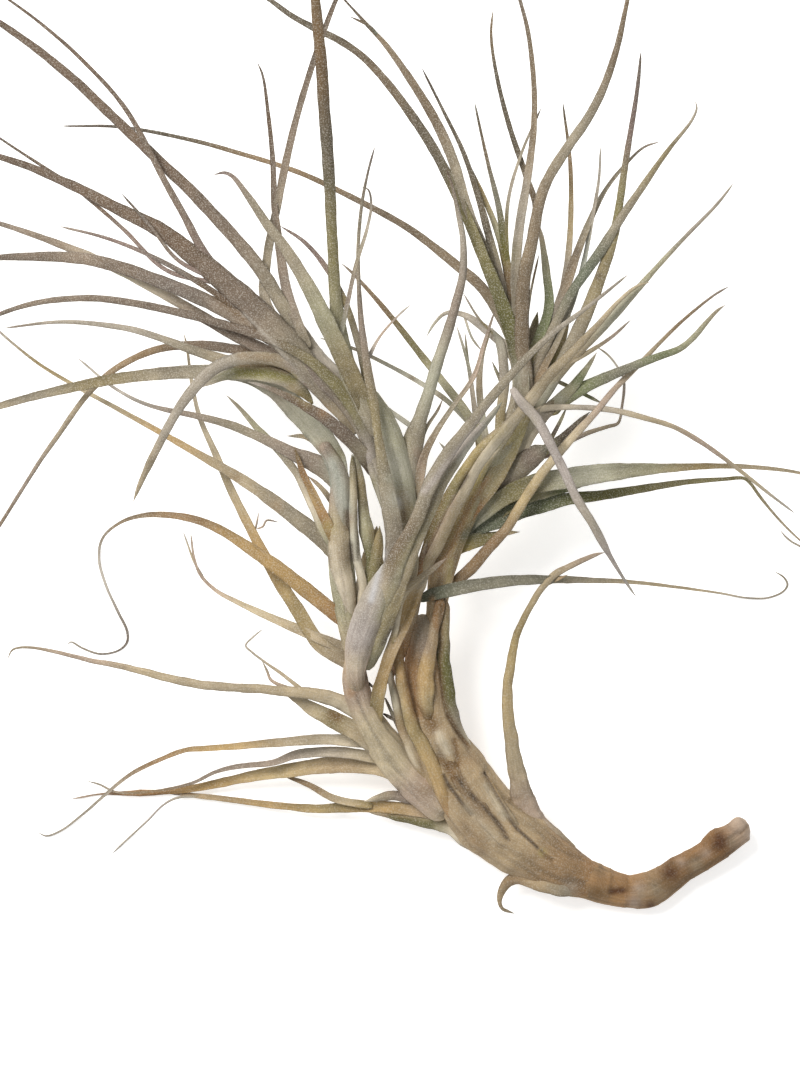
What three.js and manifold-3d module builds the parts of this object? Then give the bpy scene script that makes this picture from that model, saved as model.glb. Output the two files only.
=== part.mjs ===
// Caerulea air plant lying on a flat surface, seen from above.
// A woody stub carries an old sheathed stem that forks into six leafy shoots.
// Millimetres, +Z up. The origin is the resting spot under the elbow of the stub.

import * as THREE from 'three';
import { mergeVertices } from 'three/addons/utils/BufferGeometryUtils.js';
import Module from 'manifold-3d';

const wasm = await Module();
wasm.setup();
const { Manifold, Mesh } = wasm;

// Driving dimensions
const EYE_HEIGHT = 1500;
const EYE_X = -59;
const EYE_Y = 89.6;
const GAP = 0.32;
const BLADE_MIN = 0.6;
const BLADE_GAIN = 0.1;
const CHANNEL = 0.16;
const LONG_STEP = 15;
const GROUND = 400;
const GROUND_DEPTH = 50;
const FINEST = 0.01;

// A leaf is a lift profile in z, and a run of x, y and width as seen from above.
// A stem is a run of x, y, z and radius.

const woodyStem = {
  name: 'woody_stem',
  colour: 0x9a7b5f,
  sides: 14,
  stem: [
    [-12, 3, 5.5, 4.9], [-7, 1.2, 4.4, 4.4], [-2, 0.1, 3.8, 4.1], [3, 0.5, 3.7, 4.4],
    [7, 2.6, 4, 4], [11.5, 5.8, 4.6, 3.6], [15.5, 8, 5.2, 3.4], [18.3, 9.8, 5.7, 3.4],
    [20.8, 12, 6.1, 4], [22.6, 13, 6.4, 3.6], [24.6, 14.2, 6.7, 3.3], [26.8, 16, 7, 3.3],
    [28.3, 16.7, 7.2, 2.3],
  ],
  leaves: [],
};

const oldStem = {
  name: 'old_stem',
  colour: 0xa39684,
  sides: 12,
  stem: [
    [-12.6, 3.2, 5.6, 4.9], [-20, 6.6, 7.4, 6.9], [-29, 12.5, 8.8, 8.1],
    [-37.5, 19, 10, 9], [-43.8, 28, 12, 8], [-49.5, 37.8, 15, 6.8], [-51, 48, 17.2, 5.7],
    [-52.4, 58, 19.2, 5.2], [-53, 64, 20.4, 3.7], [-53.6, 69.5, 21.2, 1.7],
  ],
  leaves: [
    // sheaths that clasp the stem
    [[16, 20.5, 23, 25, 26],
      [-43.3, 16.5, 2, -46, 20, 3.3, -48.3, 25, 4.1, -52.1, 33, 4, -54.9, 39.5, 3.7,
        -56.9, 44.8, 3.1, -58, 50, 3, -58.9, 55.4, 2.8, -59.3, 60, 2.6, -58.7, 65, 2]],
    [[15, 19, 21, 22.5],
      [-50, 24, 2.6, -53, 29, 2.8, -56, 34.5, 2.8, -57.9, 40, 2.8, -59.1, 45, 2.6,
        -60.2, 49.5, 2.2, -61.2, 53.5, 1.5, -61.7, 56.5, 0.8]],
    [[22.4, 26, 27, 27, 25.6],
      [-50.3, 40, 1.8, -51.6, 43.5, 3, -52.6, 47.5, 4.3, -52.7, 51.5, 4.7, -52.2, 55.5, 4.1,
        -51.2, 60.5, 3.2, -50.4, 65, 2.6, -49.7, 69.5, 2.8, -49.2, 74.4, 3.2]],
    [[18.6, 22.3, 24, 25, 25],
      [-41.4, 36, 1.4, -44.2, 40.5, 2.6, -46, 44.3, 3.4, -47.2, 48.5, 3.7, -47.9, 54, 3.6,
        -48.1, 60, 3.2, -48, 66, 3, -47.8, 73.4, 2.8]],
    [[15.6, 17.5, 18.2, 18],
      [-24, 9, 2, -28, 13, 2.8, -32, 18, 3.2, -35.3, 23.5, 3.2, -38.5, 29.5, 2]],
    [[17, 19.3, 20, 21, 21.6],
      [-28, 9.5, 2.4, -33, 13.5, 3.8, -38, 19, 4.2, -42, 25, 4.2, -45, 31, 4, -47.5, 37.5, 3,
        -49.3, 43, 1.6]],
    // upright dry leaf with a folded tip
    [[9.6, 14, 21, 28, 29.5, 26, 24],
      [-15, 9.4, 2.6, -20.2, 13.2, 4.8, -25.3, 17.2, 6.6, -28, 22, 6, -29.4, 27, 4.9,
        -30.2, 31.5, 4.1, -31, 37, 3.5, -31.9, 45, 2.9, -32, 52, 2.5, -31, 59, 2.2,
        -29, 66, 1.8, -26, 72, 1.6, -23.5, 76, 1.7, -20, 79.6, 1.8, -15, 82.4, 1.6,
        -10.5, 84.2, 1.1, -7.7, 84.9, 0.5]],
    [[26.5, 26], [-23, 76.8, 1.4, -17, 79.3, 0.6]],
    // level leaf with a hooked tip on the surface
    [[26, 31, 26, 16, 6, 1, 0.5],
      [-54.6, 72.9, 1.8, -51.3, 74.2, 3, -47, 75.3, 3.4, -40, 76.7, 3.2, -30, 77.9, 2.7,
        -20, 78, 2.1, -10, 77.9, 1.4, 0, 77.4, 1, 10, 76.2, 0.8, 20, 74.9, 0.6, 28, 73.5, 0.5,
        33, 73.5, 0.5, 36.7, 75, 0.5, 37.9, 76.8, 0.5, 37, 78.7, 0.5, 34.7, 80.1, 0.5]],
    // dry hook below the elbow
    [[9, 12, 13, 11.4, 8, 5, 2.4],
      [-12, 0.6, 4.4, -17, 1.4, 5.4, -22, 2.6, 5.8, -26, 3.6, 5.4, -29.4, 3.5, 4.2,
        -32.2, 1.9, 2.7, -33.8, -0.5, 1.9, -34.1, -2.8, 1.1, -33.4, -4.3, 0.9, -32, -4.9, 0.8,
        -30.3, -5.4, 0.6]],
    // wiry roots
    [[21.5, 20.5, 18.5],
      [-62.7, 48.4, 0.6, -61.6, 46, 0.8, -60.6, 43.9, 1, -59.7, 41.6, 0.8, -58.8, 39.3, 0.7,
        -58, 37, 0.6]],
    [[21, 20.6], [-63.2, 44.5, 0.6, -62, 43.9, 0.9, -60.8, 43.2, 1, -59.6, 42.3, 0.9]],
  ],
};

const shootLowLeft = {
  name: 'shoot_low_left',
  colour: 0xa8967a,
  sides: 8,
  stem: [
    [-45.5, 20.5, 9.6, 5.2], [-50, 23.5, 10.5, 5.2], [-57, 30, 12, 4.8],
    [-62.6, 36.5, 14.5, 4.4], [-66.4, 42.3, 17.5, 3.7], [-69.2, 48.6, 20.3, 3.3],
    [-70.2, 53, 22, 3.2], [-70.3, 56.8, 23.2, 2.7],
  ],
  leaves: [
    [[19, 24, 22, 14, 6, 3],
      [-66, 42, 4, -71, 46, 4.2, -77, 48.6, 3.6, -84, 50, 2.8, -92, 50.5, 2.4, -102, 51, 2.3,
        -112, 52.4, 2.2, -122, 54.7, 1.9, -132, 57, 1.5, -141, 59.1, 1.1, -149, 60.8, 0.8,
        -154, 61.1, 0.6, -156, 60.4, 0.5, -157.1, 58.2, 0.5]],
    [[17, 20, 20, 21],
      [-64, 36, 5, -70, 40, 4.6, -76, 43.3, 4.4, -81, 45.8, 3.4, -85, 48.3, 2, -88, 49.6, 1]],
    [[23.8, 20, 16, 12],
      [-83, 50, 1.2, -88, 54, 0.9, -92, 57, 0.7, -96, 60, 0.6, -97.6, 61.6, 0.5,
        -95.6, 63.8, 0.5, -93.3, 65.7, 0.5]],
    [[23.5, 18], [-86, 50.6, 1, -91.3, 53, 0.8, -92.2, 55, 0.7, -93.5, 57.7, 0.6]],
    [[16, 16, 12, 8, 2, 0.5],
      [-66, 37.3, 3.2, -78, 38.1, 2.7, -90, 37.3, 2.2, -100, 36.4, 1.7, -108, 35.8, 1.5,
        -112.5, 35.5, 1.3, -120, 32.7, 1.2, -127, 29, 1, -133, 24, 0.8, -139, 18.8, 0.6,
        -144, 15.2, 0.5, -147.5, 14, 0.5, -149.4, 14.8, 0.5]],
    [[14, 13, 10, 6, 3, 3],
      [-62, 33, 3, -75, 35, 2.7, -85, 34.3, 2.3, -90.5, 32.4, 1.6, -100, 31.3, 1.3,
        -105, 30, 1, -111, 27.2, 0.8, -120, 25.2, 0.7, -130, 25, 0.6, -134, 26.8, 0.5,
        -137.2, 27.7, 0.5]],
    [[13, 11, 7, 3, 1, 1],
      [-57, 29, 4.6, -66, 31.6, 4.6, -76, 31.7, 4.3, -86, 30.5, 3.6, -95, 29.1, 2.8,
        -104, 27.2, 2.3, -112, 25.7, 1.8, -118, 25, 1.3, -124, 24.8, 1.8, -129, 24.6, 1,
        -134, 24.4, 0.5, -141.2, 23.2, 0.5]],
    [[9.4, 7, 4, 2, 1],
      [-47.5, 17.6, 2.6, -51, 19.6, 3.4, -60, 21, 3.2, -70, 21.2, 2.8, -80, 20.8, 2.2,
        -90, 21.6, 1.8, -100, 22.9, 1.5, -109, 24, 1.4, -116, 24.8, 0.9, -122, 25.2, 0.5]],
    [[9, 7, 6], [-66, 21.5, 2, -75, 23.2, 1.9, -82, 26.8, 1.5, -88.5, 29.2, 0.6]],
    [[2, 1.5, 0.5], [-106, 23.8, 0.7, -115.8, 23.1, 0.6, -123, 17, 0.5, -131, 9.6, 0.5]],
    [[8.8, 9.4, 8, 6],
      [-38, 10.6, 3.6, -42, 13, 4, -46, 15.4, 4.2, -50, 16.8, 4, -55, 17.9, 3.2,
        -60, 19, 2.6, -68, 20.4, 0.8]],
    [[11, 9], [-54, 23, 3.4, -62, 23.6, 2.6, -68, 22.6, 0.8]],
    [[17.5, 25.6, 29.5, 31.5, 32.4],
      [-66.2, 39, 3, -65.3, 43, 3.6, -64.3, 50, 3.4, -62.9, 55, 3.1, -61.3, 60, 3.1,
        -59.2, 65, 3.7, -57.6, 69.5, 4.5, -55.7, 73.8, 4, -53.9, 76.8, 3.1, -51.8, 79.3, 1.6]],
    [[31, 32.6, 33.6, 34.4],
      [-60.8, 62, 1.5, -59.9, 67.5, 1.8, -59, 72, 2, -57.3, 75.4, 2.1, -54.2, 78.1, 1.8,
        -50.5, 81, 1.4, -47.2, 83.6, 0.6]],
    // wiry root
    [[23, 25.4], [-67.6, 52.7, 0.7, -66.4, 51.7, 0.7, -65, 50.5, 0.7]],
  ],
};

const shootLeft = {
  name: 'shoot_left',
  colour: 0xa9a185,
  sides: 8,
  stem: [
    [-70.6, 59.5, 19.4, 2.4], [-72, 68, 20, 2.8], [-73.3, 78, 21, 3.1],
    [-74, 88, 23, 3.1], [-73.8, 97, 25.6, 2.7], [-74.4, 105, 28.4, 2.2],
    [-78.4, 112.4, 31, 1.5],
  ],
  leaves: [
    [[27, 34, 37, 27, 4],
      [-73.4, 93.5, 2.5, -73.9, 98, 4.2, -74.2, 103, 4.7, -75.4, 108.5, 5.2, -79, 114, 5.8,
        -84, 119.6, 5.8, -90.5, 126, 5, -97, 129, 4, -104, 130, 3.6, -112, 130, 3.3,
        -120, 129.5, 3.1, -130, 128.3, 2.8, -140, 126.3, 2.5, -150, 124, 2.1,
        -159, 121.5, 1.8, -167, 119, 0.7]],
    [[22, 24, 20, 12, 4],
      [-72.6, 80.5, 3, -76, 86, 4.6, -80, 89.6, 4.4, -84, 92.6, 3.9, -90, 97.2, 3.5,
        -100, 104, 2.6, -110, 109.8, 1.9, -118, 114.4, 1.5, -130, 121, 1.2, -141, 127, 1,
        -150, 132.5, 0.8, -159, 140, 0.6, -162, 143.5, 0.5]],
    [[26, 28.6, 26, 20, 12],
      [-73.6, 99.5, 2.6, -76, 104, 4.8, -79.8, 106.8, 4.9, -84.4, 108.9, 3.6,
        -88.5, 111, 2.9, -93, 113.3, 2.4, -100, 116.3, 2.2, -110, 119, 1.6, -122, 121.8, 1,
        -130, 125.7, 0.8, -139.7, 133.5, 0.5]],
    [[20, 17, 16, 19, 18],
      [-71, 57, 4, -79, 62, 3.8, -85, 71, 3.5, -91, 80.5, 3, -96, 90, 2.4, -101, 100, 2.1,
        -105, 109.3, 1.7, -109, 118.5, 1.2, -111, 127, 0.9, -112.3, 136, 0.6, -113, 139.5, 0.5]],
    [[26, 28, 27, 24],
      [-75.4, 86, 2.6, -78, 90.5, 2.8, -80.3, 95.5, 2.4, -82.5, 100, 2, -85.2, 105, 1.9,
        -89, 110, 2, -94, 115.3, 1.8, -99, 121, 1, -102.5, 124.3, 0.5]],
    [[27, 29, 30],
      [-74.6, 86.5, 2.8, -77.2, 92, 2.8, -78.9, 95.5, 2.4, -81, 100, 2, -83.4, 105, 1.6,
        -84.4, 108, 1.1, -85.4, 111.3, 0.5]],
    [[27, 28], [-74, 94.5, 2, -76.5, 98.3, 1.6, -79.3, 101.6, 1.1, -82.2, 104.1, 0.5]],
    [[29, 30], [-75, 106, 1.8, -82, 113.5, 1.4, -87.2, 114, 0.6]],
    [[21, 24.5, 26.6, 28.8, 29],
      [-71, 64.5, 2, -69.4, 70.5, 2.2, -68.5, 76.7, 2.2, -69.7, 83, 2.2, -70.3, 90, 2.2,
        -70.6, 97, 2.1, -70.7, 103, 1.8, -71, 109.5, 0.9]],
    [[20.6, 23.6, 26, 28.4],
      [-70.8, 64, 1.8, -69.2, 70, 2, -67.6, 76.5, 2, -66.6, 82.5, 1.6, -66.8, 86, 2.7,
        -67.2, 90, 3.8, -67.9, 94, 3, -68.3, 98, 2.4, -68.9, 103, 2.1, -69.8, 107.5, 1.6,
        -70.6, 110.6, 0.8]],
    // sheaths that clasp the stem
    [[23.5, 26.5, 27.6, 28.4],
      [-71, 67.5, 2.2, -71.6, 72, 3.2, -72.9, 77.5, 4.8, -74, 83.5, 5.6, -74.5, 89, 5.6,
        -74.9, 93.5, 4, -75.5, 98, 2.2, -76.2, 101, 1]],
    [[21, 23.4, 25, 26.6],
      [-70.6, 64.5, 2, -68.8, 69.5, 2.2, -66.8, 76, 2.4, -65.7, 81, 3.2, -64.6, 86, 3,
        -64.1, 91.5, 0.8]],
    // dry leaf that curls along the surface, and a curved one below it
    [[21, 22, 16, 8, 1, 0.5, 0.5],
      [-71, 66, 3.4, -80, 73.5, 3.9, -90, 81.3, 3.6, -98, 86.8, 2.8, -104, 90.5, 2.3,
        -110, 93, 2, -118, 94.3, 1.6, -124, 94, 1.2, -129, 92.3, 0.8, -133.3, 88.5, 0.7,
        -134.3, 83.5, 0.7, -132.7, 77, 0.7, -129.5, 70, 0.7, -127.2, 65, 0.7,
        -127.3, 62.3, 0.6, -129.5, 60.3, 0.5, -134, 59.5, 0.5, -138.5, 61, 0.5,
        -141.3, 62.5, 0.5, -142.3, 61.8, 0.5]],
    [[20, 16, 10, 10],
      [-73, 61, 3, -80, 63.7, 2.6, -87, 66.8, 2.4, -94, 69.8, 1.8, -100, 72.6, 1.3,
        -105, 75.3, 1, -109, 79.4, 0.8, -110.6, 84, 0.6, -111.3, 89.6, 0.5]],
    [[10, 9], [-108, 78.1, 0.7, -110.5, 82.5, 0.6, -112, 86.5, 0.5, -113.2, 90, 0.5]],
  ],
};

const shootCentre = {
  name: 'shoot_centre',
  colour: 0xa3a086,
  sides: 8,
  stem: [
    [-57, 80, 28, 2.4], [-57.6, 88, 31, 2.8], [-57.9, 96, 34, 3], [-58.9, 104, 37.5, 3.2],
    [-60.8, 112, 40.5, 3], [-63.4, 119, 43, 2.4], [-66.5, 125, 44.6, 1.5],
  ],
  leaves: [
    [[43, 54, 64, 72, 78],
      [-64, 114, 4.2, -68.5, 123, 4.6, -72.5, 132, 4.6, -74.2, 141, 3.8, -75.2, 150, 2.9,
        -76, 162, 2.6, -76.6, 175, 2.8, -77.4, 190, 3, -78.5, 205, 2.9, -79.7, 218, 2.6,
        -80.6, 228, 2, -81.5, 236, 0.8]],
    [[43, 54, 58, 52, 46],
      [-66, 118, 4, -72, 131, 4.6, -77.5, 142.5, 4.4, -82, 151.5, 3.5, -88, 161.3, 2.7,
        -92.5, 167.3, 2.3, -97, 174, 1.7, -101, 179, 1, -103, 179.8, 0.8, -105.5, 179.3, 0.6]],
    [[43, 49, 55, 54],
      [-63.5, 113, 2.6, -66.5, 124, 2.2, -69, 136, 1.8, -73, 148, 1.6, -77.5, 156, 1.4,
        -83, 162.5, 1, -89, 166.5, 0.5]],
    [[55, 60, 56, 50],
      [-73.8, 139, 1.2, -70.2, 156, 1, -67.2, 166, 0.8, -66.2, 172, 0.6, -67, 175.6, 0.5,
        -68.7, 176.3, 0.5]],
    [[37, 42, 47, 51, 50],
      [-58.7, 94, 1.8, -58.3, 97.7, 3.4, -57.6, 101.7, 5.2, -57.3, 107, 6, -55.8, 113, 5.2,
        -54.2, 117.7, 3.6, -52.5, 123, 3, -50.7, 129, 2.9, -48, 137, 2.6, -45, 147, 2.2,
        -43.2, 155, 1.9, -43.1, 163, 1.6, -44.5, 170, 1.2, -46, 176.5, 0.7, -47.6, 181.3, 0.5]],
    [[42, 43], [-55.5, 116, 1.3, -60, 119.2, 1.2, -65, 123.2, 0.6]],
    [[39, 40, 40], [-55, 106, 1.2, -52.9, 115, 1, -49.5, 120.5, 0.7, -48.3, 123.2, 0.5]],
    // dry leaf and sheath at the base
    [[36, 41, 42, 40],
      [-56, 96.5, 2.4, -54.2, 103.5, 2.6, -52.8, 109.5, 2, -50, 115, 1.5, -46, 121, 1.2,
        -40.5, 129, 1.2, -38, 137, 0.9, -35.2, 145.5, 0.5]],
    [[38, 43, 45],
      [-60.6, 103, 1.6, -61, 108, 3.2, -61, 113, 4.6, -62.4, 117.5, 3.6, -64, 122.5, 1.6]],
  ],
};

const shootUpperLeft = {
  name: 'shoot_upper_left',
  colour: 0x857a72,
  sides: 8,
  stem: [
    [-61.8, 97, 30, 2.2], [-64.4, 103.5, 32.4, 1.8], [-66.4, 109.5, 34, 1.6],
    [-68, 115, 35.6, 1.8], [-71.5, 121, 37.6, 2.2], [-77, 127.5, 39.6, 2.6],
    [-84, 133, 41, 2.6], [-92, 139, 43, 1.6],
  ],
  leaves: [
    [[36.5, 46, 46, 34, 14],
      [-69.9, 114.6, 1.6, -72, 117.3, 2.8, -74.5, 120.4, 3.2, -77.4, 124, 4.2,
        -81, 129.6, 5.8, -88, 138.8, 7, -96, 146.3, 6, -103, 152.5, 5.5, -110, 158.5, 4.8,
        -120, 166, 3.8, -130, 171, 3, -140, 176.3, 2.5, -150, 180.7, 2, -159, 183.7, 1.6,
        -167, 186, 0.7]],
    [[38, 46, 38, 22, 3],
      [-73, 127, 4, -80, 134, 4.2, -88, 146, 3.5, -96.5, 159, 3.3, -110, 174, 3,
        -120, 183.5, 2.6, -130, 193, 2.4, -140, 202.5, 2.3, -150, 211, 2, -159, 217.3, 1.6,
        -167, 222.5, 0.6]],
    [[46.4, 42, 26, 0.5],
      [-101, 151, 2.4, -107.5, 159, 2.2, -113, 169, 1.8, -118, 178, 1.6, -125, 191.5, 1.3,
        -130, 199, 1.1, -140, 209.5, 1, -150, 218, 0.8, -163, 227.5, 0.5]],
    [[46.4, 42, 28, 16],
      [-103.5, 152, 1.2, -117, 155.3, 1.1, -128, 165.5, 1, -141, 176.5, 0.9,
        -150, 182.5, 0.8, -162.5, 190.7, 0.5]],
    [[46.4, 45, 42],
      [-104, 152.5, 1.2, -114.5, 158, 1, -121, 166, 0.8, -128.7, 174.7, 0.5]],
    [[43, 47, 42, 34],
      [-93, 139.5, 2, -103, 148.3, 1.6, -112, 154, 1.4, -122, 159.3, 1.1, -132, 163.3, 0.9,
        -144, 166.4, 0.5]],
    [[42, 46, 38, 24, 10],
      [-86, 135, 3.6, -100, 144, 4, -115, 151, 3.3, -125, 155, 3.2, -135, 157.8, 3,
        -143, 158.8, 2.8, -150, 158.8, 2.3, -159, 158.6, 1.6, -167, 157.3, 0.6]],
    [[40, 41, 30, 18, 6],
      [-84.5, 131.6, 2.4, -90, 134, 3, -100, 139, 3, -112, 146, 2.6, -128, 154.8, 2,
        -138, 159.5, 2.2, -150, 164, 1.6, -159, 167, 1.2, -167, 169.3, 0.5]],
    [[34, 44, 46, 42, 30, 12],
      [-65.7, 103, 1.6, -66.2, 108, 2.4, -67, 113, 3, -68.7, 118.2, 4, -71.2, 122.4, 4,
        -74.2, 126.1, 3.4, -77.6, 129.4, 3, -81, 132.4, 2.7, -85, 135, 2.5, -90, 137.6, 2.3,
        -95, 139.4, 2.2, -105, 142.3, 2.1, -120, 146.2, 1.9, -136, 148.5, 1.7,
        -150, 147.2, 1.4, -159, 144.5, 1.1, -167, 140.8, 0.5]],
    [[39.6, 40, 38, 34, 26],
      [-80.5, 126.6, 2.4, -84, 129, 3, -88, 130.6, 3, -98, 131.8, 3, -110, 135.3, 2.4,
        -120, 138.9, 1.7, -128, 141, 1.5, -143, 142.5, 1, -157.7, 141, 0.5]],
    [[40, 36, 28, 22, 18, 8, 0.5],
      [-82, 130.4, 2.6, -86, 132.7, 2.8, -92, 134.6, 2.6, -98, 135.4, 2.6, -110, 136.8, 2.2,
        -121, 135.3, 1.8, -130, 130.8, 1.6, -136.5, 125, 1.5, -145, 113.5, 1.3,
        -150, 106.3, 1.1, -159, 91.8, 0.9, -164, 84, 0.5]],
    [[39, 43, 47, 46, 42, 36],
      [-75, 120.6, 2, -78.4, 124.6, 3.6, -82.5, 129, 4, -87, 132, 3.4, -92, 133.4, 3.1,
        -98, 133.3, 3.2, -103, 132, 3.2, -107, 129.6, 3, -110, 126.5, 2.8, -114, 121.5, 2.4,
        -117, 116.5, 2.2, -119.5, 111.5, 2, -122, 106.5, 1.9, -124, 102, 1.3,
        -125.7, 97.5, 0.5]],
    [[33.8, 40.6, 42.2, 42],
      [-65.5, 104, 2.4, -67.2, 107.8, 3.6, -70.2, 111.6, 3.5, -74, 115.3, 3.4, -78, 118.6, 3,
        -82, 121, 2.4, -87, 123.8, 1.8, -93, 126.4, 1, -97, 127.5, 0.7]],
    [[44, 45, 43, 40],
      [-82, 136, 2.4, -87, 149, 2.6, -89, 160, 2.2, -90.3, 171, 1.7, -90.8, 183, 1.3,
        -91.9, 194, 1, -93.3, 204, 0.6, -94.7, 207.5, 0.5]],
    [[43, 43, 46, 48, 50],
      [-87, 138, 2.4, -92.7, 148, 2.6, -92.2, 158.5, 2.2, -90, 170, 2, -87.2, 184, 1.9,
        -84.8, 194, 1.7, -81, 206.5, 1.5, -77, 218, 1.3, -75, 223, 1.1, -71, 231.5, 0.5]],
  ],
};

const shootFront = {
  name: 'shoot_front',
  colour: 0xb1a79c,
  sides: 10,
  stem: [
    [-70, 55.6, 27, 2.4], [-69.3, 61, 29.5, 3.4], [-66.5, 69, 33, 4],
    [-63.5, 76, 37, 3.4], [-61, 82, 40, 2],
  ],
  leaves: [
    [[29.5, 42, 50, 55, 57, 55],
      [-69.9, 55, 4.6, -69.4, 60, 6.6, -66.4, 68, 6.8, -62.8, 76, 6, -59.4, 84, 4.6,
        -57, 89, 3.6, -54.6, 94, 3.4, -51.3, 102.3, 3.5, -46.9, 109.6, 3.2, -42, 116, 2.7,
        -36, 123.6, 2.3, -29.5, 131.3, 2, -22, 138.8, 1.5, -14, 144.8, 1.1, -8, 149.5, 0.8,
        -2, 154.3, 0.5]],
    [[29.5, 39, 45, 48, 48],
      [-67.6, 55.4, 3, -65.2, 61.5, 4.8, -61.9, 71, 5.2, -58.6, 80, 4.5, -55.3, 87.7, 3.6,
        -51.5, 95.3, 3.1, -48.8, 101, 2.8, -46.3, 105.3, 2.6, -41.6, 112.6, 2.2,
        -37, 118, 1.6, -33.5, 122.5, 1]],
    [[52, 52], [-46, 109, 1, -49.3, 112.5, 0.7]],
    // upright leaf behind, with a thin sprig
    [[38.5, 47, 51.5, 54, 55],
      [-63.3, 76, 3.6, -61.6, 80, 4, -60.6, 84.5, 4.4, -60.6, 90, 4.7, -61.4, 95, 4.3,
        -62.3, 100.3, 3.9, -63.2, 105.7, 3.1, -63.9, 110.5, 2.4, -64.7, 115.5, 2.1,
        -65.6, 123, 2.4, -67, 130, 2.2, -68.4, 140, 1.6, -69.2, 150, 1.1, -69.5, 162, 0.9,
        -68.4, 173, 0.8, -67, 180, 0.6, -65.3, 186.3, 0.5]],
    [[52.6, 49, 45],
      [-67.3, 133, 1.2, -64, 138.9, 0.6, -59, 144.5, 0.5, -56.3, 146.8, 0.5]],
  ],
};

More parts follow.
